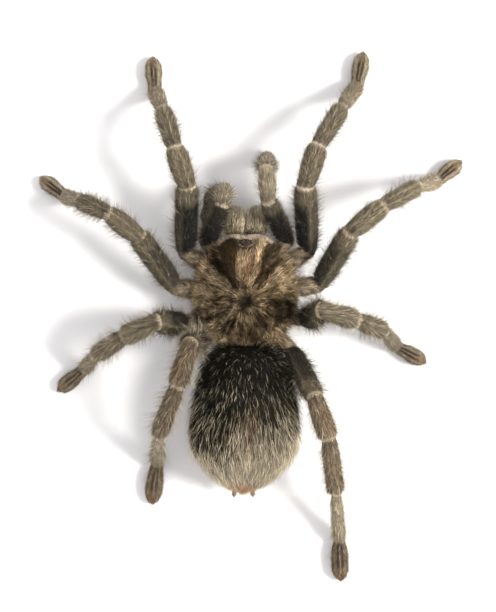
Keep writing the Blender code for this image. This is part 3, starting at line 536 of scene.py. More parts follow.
def sow(draw, surface, kind, share=1.0, **also):
    """A share of one kind of hair. Its length and lift may be replaced by functions of place and turn."""
    hair = HAIRS[kind]
    count = int(hair.count * share)
    row, column = surface.scatter(draw, count, also.get("density"))
    columns = surface.points.shape[1]
    place = np.interp(row, np.arange(len(surface.places)), surface.places)
    turn = column / columns * 2 * math.pi
    lengths, lifts = also.get("length", hair.length), also.get("lift", hair.lift)
    lengths = lengths(place, turn) if callable(lengths) else np.full(count, float(lengths))
    lifts = lifts(place, turn) if callable(lifts) else np.full(count, float(lifts))
    lengths = lengths * draw.uniform(*HAIR_LENGTHS, count)
    lifts = np.radians(lifts * draw.uniform(*HAIR_LIFTS, count))
    out = unit(surface.at(surface.out, row, column))
    lie = unit(surface.at(surface.onward, row, column))
    if "toward" in also:
        lie = unit(lie + also["toward"](place, turn))
        lie = unit(lie - out * np.sum(lie * out, axis=1, keepdims=True))
    across = np.cross(lie, out)
    swing = np.radians(draw.normal(0, hair.spread, count))[:, None]
    lie = lie * np.cos(swing) + across * np.sin(swing)
    across = np.cross(lie, out)
    marks = surface.marks(place, turn)
    for name, value in also.get("marked", {}).items():
        marks[name] = np.broadcast_to(value(place, turn) if callable(value) else float(value), place.shape)
    low, high = surface.unwrap
    bake = np.stack([row / (len(surface.points) - 1), low + (high - low) * (column / columns % 1.0)], axis=1)
    root = surface.at(surface.points, row, column) - out * ROOT_SINK
    wide = hair.width * draw.uniform(*HAIR_WIDTHS, count)[:, None]

    def slope(lifts):
        return lie * np.cos(lifts)[:, None] + out * np.sin(lifts)[:, None]

    def corners(middle, wide):
        """Three points round the middle of a hair."""
        return [middle - across * wide / 2, middle + across * wide / 2, middle + out * wide * 0.6]

    points = corners(root, wide)
    if hair.bent:
        second = slope(lifts * (1 - also.get("curl", HAIR_CURL)))
        second = second + across * np.radians(draw.normal(0, HAIR_SWAY, count))[:, None]
        knee = root + slope(lifts) * (lengths * 0.5)[:, None]
        points += [*corners(knee, wide * 0.8), knee + second * (lengths * 0.5)[:, None]]
        along = (0, 0, 0, 0.55, 0.55, 0.55, 1)
        patch = ((-1, -1), (1, -1), (0, -1), (-1, 0), (1, 0), (0, 0), (0, 1))
        triangles = STRAND_TRIANGLES
    else:
        points += [root + slope(lifts) * lengths[:, None]]
        along = (0, 0, 0, 1)
        patch = ((-1, -1), (1, -1), (0, -1), (0, 1))
        triangles = DOWN_TRIANGLES
    points = np.stack(points, axis=1)
    points[:, 3:, 2] = np.maximum(points[:, 3:, 2], TIP_FLOOR)
    return {
        "points": points,
        "triangles": triangles,
        "bake": bake[:, None, :] * 0.98 + 0.01 + np.array(patch)[None] * PATCH,
        "tip": np.broadcast_to(np.array(along, float), points.shape[:2]),
        "strand": draw.random(count),
        "marks": marks,
        "lay": surface.lay(np.interp(row, np.arange(len(surface.reach)), surface.reach), turn),
    }


def set_points(mesh, points, triangles):
    """Fills a mesh with points in millimetres and triangles."""
    mesh.vertices.add(len(points))
    mesh.vertices.foreach_set("co", (points / 1000 + PIT).astype(np.float32).ravel())
    mesh.loops.add(len(triangles) * 3)
    mesh.loops.foreach_set("vertex_index", triangles.astype(np.int32).ravel())
    mesh.polygons.add(len(triangles))
    mesh.polygons.foreach_set("loop_start", np.arange(0, len(triangles) * 3, 3, dtype=np.int32))
    mesh.update(calc_edges=True)


def set_values(mesh, name, values, kind="FLOAT"):
    field = mesh.attributes.new(name, kind, "POINT")
    key = "value" if kind == "FLOAT" else "vector"
    field.data.foreach_set(key, np.ascontiguousarray(values, np.float32).ravel())


def new_object(name, data):
    """A new object, linked into the scene."""
    thing = bpy.data.objects.new(name, data)
    bpy.context.scene.collection.objects.link(thing)
    return thing


def finish_piece(name, mesh, material, nodes=()):
    mesh.shade_smooth()
    mesh.materials.append(material)
    piece = new_object(name, mesh)
    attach(piece, "root")
    if nodes:
        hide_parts(*nodes)


def make_skin(name, surfaces, material, nodes=()):
    """One piece from closed skins, with their marks."""
    shapes = [surface.shape() for surface in surfaces]
    starts = np.cumsum([0] + [len(shape[0]) for shape in shapes[:-1]])
    mesh = bpy.data.meshes.new(name)
    set_points(
        mesh,
        np.concatenate([shape[0] for shape in shapes]),
        np.concatenate([shape[1] + start for shape, start in zip(shapes, starts)]),
    )
    for mark in MARKS:
        set_values(mesh, mark, np.concatenate([shape[2][mark] for shape in shapes]))
    set_values(mesh, "lay", np.concatenate([shape[3] for shape in shapes]), "FLOAT_VECTOR")
    finish_piece(name, mesh, material, nodes)


def make_coat(name, coats, material):
    """One piece from batches of hairs."""
    triangles, bakes, start = [], [], 0
    for coat in coats:
        count, each = coat["points"].shape[:2]
        local = coat["triangles"][None] + (np.arange(count) * each)[:, None, None]
        triangles.append(local.reshape(-1, 3) + start)
        bakes.append(coat["bake"][:, coat["triangles"].ravel()].reshape(-1, 2))
        start += count * each
    mesh = bpy.data.meshes.new(name)
    points = np.concatenate([coat["points"].reshape(-1, 3) for coat in coats])
    set_points(mesh, points, np.concatenate(triangles))
    unwrap = np.clip(np.concatenate(bakes), 0, 1).astype(np.float32)
    mesh.uv_layers.new(name="OFBake").data.foreach_set("uv", unwrap.ravel())

    def spread(read):
        """One value of each hair on all its points."""
        values = [np.repeat(np.asarray(read(coat), float), coat["points"].shape[1], axis=0) for coat in coats]
        return np.concatenate(values)

    for mark in MARKS:
        set_values(mesh, mark, spread(lambda coat: coat["marks"][mark]))
    set_values(mesh, "tip", np.concatenate([coat["tip"].ravel() for coat in coats]))
    set_values(mesh, "strand", spread(lambda coat: coat["strand"]))
    set_values(mesh, "lay", spread(lambda coat: coat["lay"]), "FLOAT_VECTOR")
    finish_piece(name, mesh, material)


class Segment:
    """One length of a limb, between two joints."""

    def __init__(self, name, start, along, dorsal, length, half_width):
        self.name = name
        self.start = start
        self.along = along
        self.dorsal = dorsal
        self.side = np.cross(along, dorsal)
        self.length = length
        self.half_width = half_width
        self.end = start + along * length

    def ring_at(self, distance, half, rise=0.0):
        centre = self.start + self.along * distance + self.dorsal * rise
        return ring(centre, self.side, self.dorsal, half, half, LIMB_SIDES)


def aim(side, heading, pitch):
    """The direction of a segment with this heading and pitch, and its dorsal direction."""
    h, p = math.radians(heading), math.radians(pitch)
    level = np.array([outward(side) * math.sin(h), -math.cos(h), 0.0])
    return level * math.cos(p) + Z_AXIS * math.sin(p), level * -math.sin(p) + Z_AXIS * math.cos(p)


def leg_pitches(limb, pitches):
    """The pitches of a whole leg, whose metatarsus reaches down to the ankle's height."""
    lengths = LEG_LENGTHS[limb]
    height = FEMUR_START_HEIGHT
    for length, pitch in zip(lengths, pitches):
        height += length * math.sin(math.radians(pitch))
    reach = math.degrees(math.asin((ANKLE_HEIGHT - height) / lengths[3]))
    return (*pitches, reach, TARSUS_PITCH)


def limb_chain(limb, side):
    """The segments of one limb, from its hip to its tarsus."""
    start, headings, pitches = LIMB_POSES[limb, side]
    if limb == "palp":
        lengths, widths = PALP_LENGTHS, PALP_WIDTHS
        names = ("femur", "patella", "tibia", "tarsus")
    else:
        lengths, widths = LEG_LENGTHS[limb], LEG_WIDTHS[limb]
        names = ("femur", "patella", "tibia", "metatarsus", "tarsus")
        pitches = leg_pitches(limb, pitches)
    root_out, root_back = HIP_ROOTS[limb]
    root = np.array([outward(side) * root_out, root_back, HIP_ROOT_HEIGHT])
    at = np.array([outward(side) * start[0], start[1], FEMUR_START_HEIGHT])
    along = unit(at - root)
    dorsal = unit(Z_AXIS - along * along[2])
    chain = [Segment("hip", root, along, dorsal, np.linalg.norm(at - root), widths[0])]
    for name, length, width, heading, pitch in zip(names, lengths, widths[1:], headings, pitches):
        along, dorsal = aim(side, heading, pitch)
        chain.append(Segment(name, at, along, dorsal, length, width))
        at = chain[-1].end
    return chain


def joint_ring(before, after, half):
    """A ring in the plane that halves the bend between two segments, stretched across the bend."""
    normal = unit(before.along + after.along)
    dorsal = before.dorsal + after.dorsal
    up = unit(dorsal - normal * np.dot(dorsal, normal))
    points = ring(after.start, np.cross(normal, up), up, half, half, LIMB_SIDES)
    bend = before.along - after.along
    if np.linalg.norm(bend) > 0.05:
        bend = unit(bend)
        stretch = min(1 / max(np.dot(before.along, normal), 0.3), JOINT_STRETCH)
        offset = points - after.start
        points = after.start + offset + bend * (offset @ bend)[:, None] * (stretch - 1)
    return points


def slant(part, other):
    """How far along a segment the slanted joint with another one reaches at its full width."""
    normal = unit(part.along + other.along)
    return part.half_width * math.tan(math.acos(min(1.0, float(np.dot(part.along, normal)))))


def limb_surface(limb, side, chain):
    """The skin of a whole limb, whose places count its segments: 0 is the hip's start, 1 the femur's."""
    hip, femur, tip = chain[0], chain[1], chain[-1]
    level = unit(np.array([hip.along[0], hip.along[1], 0.0]))
    sunk = hip.start - level * HIP_SUNK
    rings = [ring(sunk, np.cross(level, Z_AXIS), Z_AXIS, HIP_SUNK_RADIUS, HIP_SUNK_RADIUS, LIMB_SIDES)]
    places = [HIP_SUNK_PLACE]
    high = hip.length - slant(hip, femur) - END_MARGIN
    for share, width in HIP_PROFILE:
        rings.append(hip.ring_at(high * share, hip.half_width * width * HIP_SKIN_SHARE))
        places.append(high * share / hip.length)
    for index in range(1, len(chain)):
        before, part = chain[index - 1], chain[index]
        membrane = TARSUS_MEMBRANE_SHARE if part is tip else MEMBRANE_SHARE
        rings.append(joint_ring(before, part, membrane * min(before.half_width, part.half_width)))
        places.append(float(index))
        low = slant(part, before) + END_MARGIN
        high = part.length
        if part is not tip:
            high -= slant(part, chain[index + 1]) + END_MARGIN
        for share, width in SKIN_PROFILES[part.name]:
            distance = low + (high - low) * share
            bow = FEMUR_BOW * math.sin(math.pi * share) if part is femur else 0.0
            rings.append(part.ring_at(distance, part.half_width * width * SKIN_SHARE, bow))
            places.append(index + distance / part.length)
    for share, width in TIP_PROFILE:
        rings.append(tip.ring_at(tip.length * share, tip.half_width * width * SKIN_SHARE))
        places.append(len(chain) - 1 + share)
    rings, places = refine(rings, places, LIMB_STEP)
    rings[..., 2] = np.maximum(rings[..., 2], TIP_FLOOR)
    return Surface(rings, places, limb_marks(limb, side, chain))


def lances(front, top, share):
    """The two bald stripes on top of a tarsus, which meet at its base."""
    across = np.abs(front)
    apart = np.maximum(ease(across, 0.04, 0.12), 1 - ease(share, 0.1, 0.22))
    along = span(share, 0.04, 0.09, 0.62, 0.86)
    return apart * (1 - ease(across, 0.34, 0.48)) * along * ease(top, 0.0, 0.5)


class Spots:
    """Where places and turns of a limb's skin are on its segments."""

    def __init__(self, side, chain, place, turn):
        lengths = np.array([part.length for part in chain])
        self.last = len(chain) - 1
        self.place = np.asarray(place, float)
        self.index = np.clip(np.floor(self.place).astype(int), 0, self.last)
        self.share = self.place - self.index
        self.begun = self.share * lengths[self.index]
        self.left = (1 - self.share) * lengths[self.index]
        self.top = np.sin(turn)
        self.front = np.cos(turn) * outward(side)
        self.tufts = mottle(self.place * 17, turn * 2.6, 1.0)
        self.fine = mottle(self.place * 41 + 5, turn * 6.3, 1.0)


def pair_of_lines(front, middle, width):
    """Two lines along a limb, one on each side of its ridge."""
    return hump(front, middle, width) + hump(front, -middle, width)


def limb_marks(limb, side, chain):
    """The marks of a limb: black femora, pale rims at the joints, and lances on the tarsus."""
    black, edge, beyond, worn, pallor, foot_dark, foot_warmth = LIMB_LOOKS[limb, side]
    on_leg = limb != "palp"
    shade_painted_palp = (limb, side) == ("palp", "left")

    def darken(values, at):
        """The black femur, dark seams and notches on patella and tibia, and worn patches."""
        band = np.maximum(ease(at.front, edge, edge + 0.4), ease(-at.top, 0.1, 0.5))
        blackness = black * (band + beyond * (1 - band)) * (1 - 0.07 * ease(at.fine, 0.5, 0.8))
        faded = 0.12 if shade_painted_palp else 0.25 + 0.6 * at.tufts
        values.put("dark", at.index == FEMUR, blackness * (1 - ease(at.share, 0.66, 0.82) * faded))
        seam = hump(at.front, 0.0, 0.2) * ease(at.top, 0.2, 0.6) * (1 - ease(at.share, 0.5, 0.9))
        notch = (1 - ease(at.begun, 0.4, 1.9)) * (0.5 + 0.5 * hump(at.front, 0.0, 0.4))
        for segment, amount in ((PATELLA, 0.5 if limb == "leg_3" else 0.22), (TIBIA, 0.14)):
            values.put("dark", at.index == segment, np.maximum(amount * seam, 0.75 * notch))
        values.lift("dark", at.index >= PATELLA, worn * (0.5 + at.tufts))
        if on_leg:
            values.lift("dark", at.index == METATARSUS, 0.4 * (1 - ease(at.begun, 0.3, 1.2)))

    def line(values, at):
        """Pale rims at the joints, and pale lines along femur, patella and tibia."""
        rimmed = (at.index >= FEMUR) & (at.index <= at.last - 2)
        values.put("pale", rimmed, (1 - ease(at.left, 0.3, 0.75)) * ease(at.top, -0.5, 0.2))
        values["dark"] = values["dark"] * (1 - values["pale"])
        lined = (at.index == PATELLA) | ((at.index == TIBIA) & on_leg)
        values.lift("pale", lined, 0.32 * (pair_of_lines(at.front, 0.36, 0.08) * ease(at.top, 0.2, 0.6)))
        edging = hump(at.front, edge - 0.03, 0.075) * ease(at.top, 0.0, 0.4)
        values.lift("pale", at.index == FEMUR, 0.34 * (edging * (1 - ease(at.share, 0.8, 0.95))))

    def mark_foot(values, at):
        """A pale metatarsus, and a tarsus with dark lances between pale outlines on a warm ground."""
        values.lift("pale", at.index == METATARSUS, pallor - 0.3 * at.tufts)
        tarsus = at.index == at.last
        field = (1 - ease(np.abs(at.front), 0.38, 0.56)) * ease(at.top, 0.0, 0.5)
        field = field * span(at.share, 0.02, 0.08, 0.7, 0.92)
        dark = np.maximum(foot_dark * (0.6 + 0.8 * at.tufts), 0.3 * field)
        dark = dark * (1 - 0.6 * hump(at.front, 0.0, 0.1))
        dark = np.maximum(dark, 0.88 * lances(at.front, at.top, at.share))
        values.put("dark", tarsus, dark)
        outline = pair_of_lines(at.front, 0.62, 0.2) * ease(at.top, 0.0, 0.4)
        values.put("pale", tarsus, 0.45 * outline * (1 - dark))
        values.lift("warm", tarsus, 0.28 * field)
        if limb in ("leg_1", "leg_2"):
            bare = ease(-at.front, 0.3, 0.6) * ease(at.share, 0.3, 0.55) * ease(at.top, -0.6, 0.0)
            values.put("flesh", at.index == METATARSUS, 0.5 * bare)

    def mark_rear_leg(values, at):
        """Rusty stripes along the patella, and a rusty tinge on the tibia."""
        stripe = hump(at.front, 0.34, 0.2) * ease(at.top, 0.0, 0.4)
        stripe = stripe * span(at.share, 0.08, 0.2, 0.6, 0.8)
        values.put("warm", at.index == PATELLA, np.maximum(0.6 * stripe, 0.18))
        values.put("warm", at.index == TIBIA, 0.16)
        values.lift("dark", at.index == PATELLA, 0.35 * stripe)

    def marks(place, turn):
        at = Spots(side, chain, place, turn)
        values = Marks(at.place)
        darken(values, at)
        line(values, at)
        tarsus = at.index == at.last
        values.put("warm", tarsus, foot_warmth * (0.3 + 0.7 * ease(at.share, 0.75, 1.0)))
        hip = at.index == HIP
        values.put("flesh", hip, 0.35 * ease(at.tufts, 0.3, 0.75))
        values.put("dark", hip, 0.75 * ease(1 - at.tufts, 0.4, 0.7))
        values.put("pale", hip, 0.6 * ease(at.fine, 0.5, 0.7) * ease(at.tufts, 0.3, 0.6))
        values.lift("flesh", at.index >= FEMUR, 0.3 * (1 - ease(at.begun, 0.1, 0.45)))
        if on_leg:
            mark_foot(values, at)
        if limb == "leg_4":
            mark_rear_leg(values, at)
        values.put("dark", tarsus, values["dark"] * (1 - 0.6 * ease(at.share, 0.86, 0.98)))
        if not on_leg:
            values.lift("pale", at.index >= PATELLA, 0.58 - 0.2 * at.tufts)
        # Painted shade: the left palp's folded tibia and tarsus are painted near black, for their own dark
        # colour and the shade they lie in, and the top of the arch is painted lighter as painted light
        if shade_painted_palp:
            folded_in_shade = ease(at.place, 3.1, 3.6)
            lit_arch_top = (1 - ease(at.place, 3.75, 3.95)) * ease(at.top, 0.0, 0.7)
            values["dark"] = np.maximum(values["dark"], folded_in_shade * (0.95 - 0.6 * lit_arch_top))
            values["pale"] = values["pale"] * (1 - folded_in_shade)
        return values

    return marks


def carapace_height(degrees, share):
    """The height of the carapace's back, by degrees from straight ahead and share of its radius."""
    head = 1 - ease(degrees, *HEAD_EDGE)
    rim = CARAPACE_RIM + CLYPEUS_RISE * head
    thorax_fall = 1 - share**2.3
    head_fall = 1 - share**7
    height = rim + (CARAPACE_TOP - rim) * (thorax_fall + (head_fall - thorax_fall) * head)
    height = height + HEAD_BULGE * head * np.sin(math.pi * np.minimum(1.0, share**0.8))
    radius = share * curve(CARAPACE_OUTLINE, degrees)
    height = height - PIT_DEPTH * np.exp(-((radius / PIT_RADIUS) ** 2))
    for groove in GROOVES:
        height = height - GROOVE_DEPTH * np.sin(math.pi * share) * hump(degrees, groove, GROOVE_WIDTH)
    return height


def off_front(turn):
    """Degrees from straight ahead, on either side."""
    degrees = np.degrees(turn) % 360
    return np.minimum(degrees, 360 - degrees)


def carapace_marks(place, turn):
    """The bronze shield: a light wedge on the head, a dark patch on each side, rays and a dark pit."""
    place = np.asarray(place, float)
    degrees = np.degrees(turn) % 360
    left = np.where(degrees > 180, degrees - 360, degrees)
    off = np.abs(left)
    radius = place * curve(CARAPACE_OUTLINE, off)
    x, y = np.sin(turn) * radius, -np.cos(turn) * radius
    tufts, fine = mottle(x + 40, y + 40, 1.0), mottle(x + 70, y + 31, 0.42)
    rays = mottle(degrees / 6.0 + 3 * tufts, radius / 5.0, 1.0)

    # The light wedge, the dark patch on each side of it, and the olive strip beyond
    # The wedge reaches further out on the right, where the key light falls, and the dark patch further in on
    # the left, in shade: painted light and shade over the head's pattern
    ragged = 5 * (tufts - 0.5)
    inner = np.where(left > 0, 21 - 12 * ease(radius, 5, 13), 25 - 5 * ease(radius, 6, 15)) + ragged
    outer = np.where(left > 0, 36 - 6 * ease(radius, 6, 13), 35 - 6 * ease(radius, 6, 15)) + ragged
    inside = 1 - ease(place, 0.93, 0.96)
    wedge = (1 - ease(off, inner - 3, inner + 1)) * ease(place, 0.14, 0.26) * inside
    patch = span(off, inner - 2, inner + 2, outer - 3, outer + 3) * ease(radius, 2.0, 4.5) * inside
    olive = span(off, outer - 2, outer + 2, 41, 45) * ease(radius, 6.5, 8.5)

    # The pit, the grooves, the rays round the pit, single blotches and bright spots, and a painted shadow of
    # hair at the right rear
    pit = 1 - ease(np.hypot(x, 1.25 * (y - 0.3)) + 1.6 * (rays - 0.5), 1.2, 2.5)
    grooves = [hump(off, groove, GROOVE_WIDTH) for groove in GROOVES]
    dips = np.maximum.reduce(grooves) * span(place, 0.1, 0.25, 0.75, 0.95)
    spokes = ease(mottle(degrees / 4.0 + 40, radius / 7.0, 1.0), 0.5, 0.66) * ease(radius, 1.0, 2.4)
    lines = spokes * wedge * (1 - ease(radius, 8, 12))
    spokes = spokes * (1 - wedge) * (1 - ease(radius, 5.5, 9))
    blotch = ease(mottle(x + 9, y - 30, 3.4), 0.48, 0.62) * ease(off, 60, 100)
    # Painted shadow: a dark spot at the right rear of the shell, where clumps of hair cast shade
    shaded = np.exp(-((x + 10.3) ** 2 + (y - 2.0) ** 2) / 4.0)
    behind = ease(off, 112, 150) * (1 - ease(radius, 7.5, 10))
    bright = hump(off, 60, 4.5) * span(radius, 2.5, 4, 9, 12)
    gold = np.exp(-((x + 4.6) ** 2) / 3.0 - (y + 14.2) ** 2 / 7.0)
    gold = np.maximum(gold, 0.5 * hump(left, -57, 16) * span(radius, 8.5, 10.5, 12.5, 14))
    hollow = np.exp(-(((x - 0.3) / 3.0) ** 4 + ((y + 13.5) / 2.1) ** 4)) * (1 - ease(place, 0.91, 0.93))
    # Painted light: the shell is painted a little darker on its right side, where the key light falls, and
    # paler on its shaded left side
    lit = ease(-x, -2, 6)

    dark = 0.45 * dips + 0.5 * ease(rays, 0.4, 0.7) + 0.28 * ease(tufts, 0.45, 0.75) + 0.08 * blotch
    dark = (dark + 0.7 * shaded) * (1 - 0.7 * wedge) * (1 - 0.8 * bright)
    dark = dark + 0.36 * ease(fine, 0.5, 0.72) + 0.32 * lines + 0.42 * spokes + 0.12 * behind
    dark = (dark + 0.05 * lit * (1 - wedge)) * (1 - 0.85 * gold) + 0.3 * olive
    broad = 0.9 * (1 - 0.25 * ease(fine, 0.5, 0.75)) * patch
    dark = np.maximum.reduce([dark, broad, pit, 0.9 * hollow])

    wedge = wedge * (1 - 0.8 * hollow)
    light = ease(1 - tufts, 0.4, 0.7)
    fringe = ease(place, 0.88, 0.98) * ease(off, 28, 45)
    pale = (0.36 + 0.4 * light) * wedge + 0.35 * fringe * light + 0.28 * light + 0.4 * bright
    pale = pale + 0.3 * ease(radius, 7, 11) * (0.4 + light) + (0.34 - 0.44 * lit) * (1 - wedge)
    pale = pale + 0.55 * gold + 0.24 * ease(1 - fine, 0.5, 0.75)
    pale = pale * (1 - patch * (1 - gold)) * (1 - 0.6 * lines) * (1 - 0.5 * olive)
    warm = 0.45 * wedge * (1 - gold) + 0.25 * patch * (1 - wedge) + 0.6 * lines + 0.4 * pit
    flesh = (off < 30) * ease(place, 0.92, 0.935) * (1 - ease(off, 24, 29))
    values = {"dark": dark, "pale": pale, "warm": warm, "flesh": flesh}
    return Marks(place, **{name: np.clip(value, 0, 1) for name, value in values.items()})


def carapace_surface():
    shares = [0.012, *np.linspace(0.035, 0.97, 44), 0.988, 1.0]
    turn = np.linspace(0, 2 * math.pi, 144, endpoint=False)
    off = off_front(turn)
    radius = curve(CARAPACE_OUTLINE, off)
    across, back = np.sin(turn) * radius, -np.cos(turn) * radius
    rings = []
    for share in shares:
        height = carapace_height(off, share) - CARAPACE_COAT
        rings.append(np.stack([across * share, back * share, height], axis=1))
    low = rings[-1].copy()
    low[:, 2] = CARAPACE_BASE + CARAPACE_EDGE
    return Surface([*rings, low, low * (0.9, 0.9, 1.0)], [*shares, 1.01, 1.03], carapace_marks)


def abdomen_swing(back):
    """How far the abdomen's middle lies to the left at a distance back from the pit."""
    return ABDOMEN_SWING * float(ease(back, *ABDOMEN_SWING_REACH))


def abdomen_marks(place, turn):
    """Black in front, beige towards the rear, with a few rusty hairs on the back."""
    place = np.asarray(place, float)
    top, side = np.sin(turn), np.cos(turn)
    clumps = mottle(side * 14 + 60, place * 1.1, 1.6)
    # Painted shade: the beige of the rear begins later on the left side, away from the key light, so that
    # side is painted darker
    shade_lag = 7.0 * ease(side, -0.1, 0.6) * (1 - ease(place, 44, 47))
    dark = 1 - 0.82 * ease(place - shade_lag + 4 * (clumps - 0.5), 16.5, 48)
    rear = ease(place - shade_lag, 33, 49) * (0.5 + 0.8 * clumps)
    spots = hump(place, 30.5, 3.0) * hump(side, -0.1, 0.16) + hump(place, 37, 3.0) * hump(side, -0.05, 0.2)
    warm = 0.42 * spots * (top > 0) + 0.5 * ease(place, 43.5, 46)
    return Marks(place, dark=np.clip(dark, 0, 1), pale=np.clip(0.75 * rear, 0, 0.8), warm=np.clip(warm, 0, 1))


def abdomen_surface():
    rings, places = [], []
    front, rear = ABDOMEN_STATIONS[0][0], ABDOMEN_STATIONS[-1][0]
    for back, half_width, half_height, middle in ABDOMEN_STATIONS:
        coat = ABDOMEN_COAT + 0.9 * float(ease(back, 35, 43))
        pulled = back + coat * (1 - 2 * (back - front) / (rear - front))
        wide, high = (max(half - coat, half * 0.6) for half in (half_width, half_height))
        centre = np.array([abdomen_swing(back), pulled, middle])
        rings.append(ring(centre, X_AXIS, Z_AXIS, wide, high, ABDOMEN_SIDES))
        places.append(pulled)
    tail = np.array([abdomen_swing(rear), places[-1] + 0.4, ABDOMEN_STATIONS[-1][3] - 0.1])
    rings.append(ring(tail, X_AXIS, Z_AXIS, *ABDOMEN_TAIL, ABDOMEN_SIDES))
    places.append(tail[1])
    return Surface(*refine(rings, places, ABDOMEN_STEP), abdomen_marks)


def pedicel_surface():
    count, step = FINENESS["pedicel"]
    rings = []
    for back, wide, high, up in PEDICEL:
        rings.append(ring(np.array([0, back, up]), X_AXIS, Z_AXIS, wide, high, count))
    rings, places = refine(rings, [row[0] for row in PEDICEL], step)
    return Surface(rings, places, lambda place, turn: Marks(place, flesh=0.3))


def sternum_surface():
    """The breast plate: rings that grow from the middle of its underside and rise to the shield."""
    turn = np.linspace(0, 2 * math.pi, 48, endpoint=False)
    rings = []
    for height, wide, long in STERNUM_RINGS:
        x = np.sin(turn) * wide
        y = -np.cos(turn) * long + STERNUM_MIDDLE
        rings.append(np.stack([x, y, np.full_like(x, height)], axis=1))
    rings = np.array(rings)
    rows = np.linspace(0, len(rings) - 1, 28)
    i = np.clip(rows.astype(int), 0, len(rings) - 2)
    share = (rows - i)[:, None, None]
    smooth = rings[i] * (1 - share) + rings[i + 1] * share
    return Surface(smooth, rows, lambda place, turn: Marks(place, dark=0.75))


def jaw_marks(side):
    """Grey-beige streaks down the front of a jaw, with a light line on its inner edge."""
    # Painted light: the right jaw starts paler than the left
    base = JAW_PALLOR_AND_PAINTED_LIGHT[side]

    def marks(place, turn):
        place = np.asarray(place, float)
        top, inner = np.sin(turn), np.cos(turn) * outward(side)
        streak = mottle(turn * 9, place / 3.0, 1.0)
        line = hump(inner, 0.82, 0.1) * ease(top, 0.0, 0.3)
        under = ease(-top, 0.05, 0.4)
        dark = 0.4 * ease(1 - streak, 0.4, 0.7) * ease(top, -0.4, 0.3) * (1 - line)
        pale = np.clip(base + 0.5 * ease(streak, 0.4, 0.7) + 0.6 * line, 0, 1) * (1 - under)
        return Marks(place, dark=np.maximum(dark, 0.7 * under), pale=pale)

    return marks


def jaw_surface(side):
    count, step = FINENESS["jaw"]
    rings = []
    for out, back, up, half_width, half_height, pitch in JAW_STATIONS:
        along, dorsal = aim(side, 0, pitch)
        centre = np.array([outward(side) * out, back, up])
        across = np.cross(along, dorsal)
        rings.append(ring(centre, across, dorsal, half_width - JAW_COAT, half_height - JAW_COAT, count))
    rings, places = refine(rings, np.arange(len(rings), dtype=float), step)
    return Surface(rings, places, jaw_marks(side), PAIR_UNWRAP[side])


def fang_surface(side):
    count, step = FINENESS["fang"]
    out, back, up, _, _, pitch = JAW_STATIONS[-1]
    along, dorsal = aim(side, 0, pitch)
    across = np.cross(along, dorsal)
    pivot = np.array([outward(side) * out, back, up]) - along * FANG_SUNK - dorsal * FANG_BEND_RADIUS
    rings = []
    for i, radius in enumerate(FANG_RADII):
        turn = math.radians(FANG_TURN * i / (len(FANG_RADII) - 1))
        spoke = dorsal * math.cos(turn) + along * math.sin(turn)
        rings.append(ring(pivot + spoke * FANG_BEND_RADIUS, across, spoke, radius, radius, count))
    rings, places = refine(rings, np.arange(len(rings), dtype=float), step)
    return Surface(rings, places, lambda place, turn: Marks(place, warm=ease(place, 3.5, 5.0)))


def spinneret_marks(place, turn):
    """Orange brown, with darker joints between the three segments."""
    joints = hump(place, 0.4, 0.05) + hump(place, 0.67, 0.05)
    return Marks(place, warm=0.6, pale=0.25, dark=0.3 * joints)


def spinneret_surface(side):
    count, step = FINENESS["spinneret"]
    out, back, up = SPINNERET_ROOT
    root = np.array([outward(side) * out + ABDOMEN_SWING, back, up])
    along, dorsal = aim(side, 180 - SPINNERET_SPREAD, SPINNERET_PITCH)
    rings, places = [], []
    for share, width in SPINNERET_PROFILE:
        half = SPINNERET_RADIUS * width
        centre = root + along * (SPINNERET_LENGTH * share)
        rings.append(ring(centre, np.cross(along, dorsal), dorsal, half, half, count))
        places.append(share)
    rings, places = refine(rings, places, step)
    return Surface(rings, places, spinneret_marks, PAIR_UNWRAP[side])


def dome_surface(centre, radii, sides, bands, marks=no_marks):
    """An ellipsoid as rings from its top to its bottom."""
    rings = []
    for tilt in np.linspace(0.06, math.pi - 0.06, bands):
        middle = np.array(centre) + np.array([0, 0, radii[2] * math.cos(tilt)])
        wide, deep = radii[0] * math.sin(tilt), radii[1] * math.sin(tilt)
        rings.append(ring(middle, X_AXIS, Y_AXIS, wide, deep, sides))
    return Surface(rings, np.linspace(0, 1, bands), marks)


def eye_surfaces():
    """The eight eyes on their hill; those that look up and back are pearly."""
    surfaces = []
    for way in (1, -1):
        for out, back, across, deep in EYES:
            level = (out / EYE_HILL_RADII[0]) ** 2 + (back / EYE_HILL_RADII[1]) ** 2
            up = EYE_HILL_RADII[2] * math.sqrt(max(1 - level, 0.0))
            centre = np.array(EYE_HILL) + np.array([way * out, back, up - EYE_SUNK * across])
            marks = lambda place, turn, pearl=float(back > 0): Marks(place, warm=pearl)
            surfaces.append(dome_surface(centre, (across, deep, across), *EYE_FINENESS, marks))
    return surfaces


def claw_surfaces(chain):
    """A pair of small hooked claws under the end of a tarsus."""
    tip = chain[-1]
    count, step = CLAW_FINENESS
    surfaces = []
    for way in (-1, 1):
        rings = []
        root = tip.start + tip.along * (tip.length * CLAW_ROOT) + tip.side * (CLAW_SPREAD * way)
        for i, radius in enumerate(CLAW_RADII):
            turn = math.radians(CLAW_STEP * i)
            reach, drop = CLAW_REACH * math.sin(turn), CLAW_DROP * (1 - math.cos(turn))
            aimed = unit(tip.along * math.cos(turn) - tip.dorsal * math.sin(turn))
            centre = root + tip.along * reach - tip.dorsal * drop
            rings.append(ring(centre, tip.side, np.cross(tip.side, aimed), radius, radius, count))
        rings, places = refine(rings, np.arange(len(rings), dtype=float), step)
        rings[..., 2] = np.maximum(rings[..., 2], TIP_FLOOR)
        surfaces.append(Surface(rings, places, no_marks))
    return surfaces


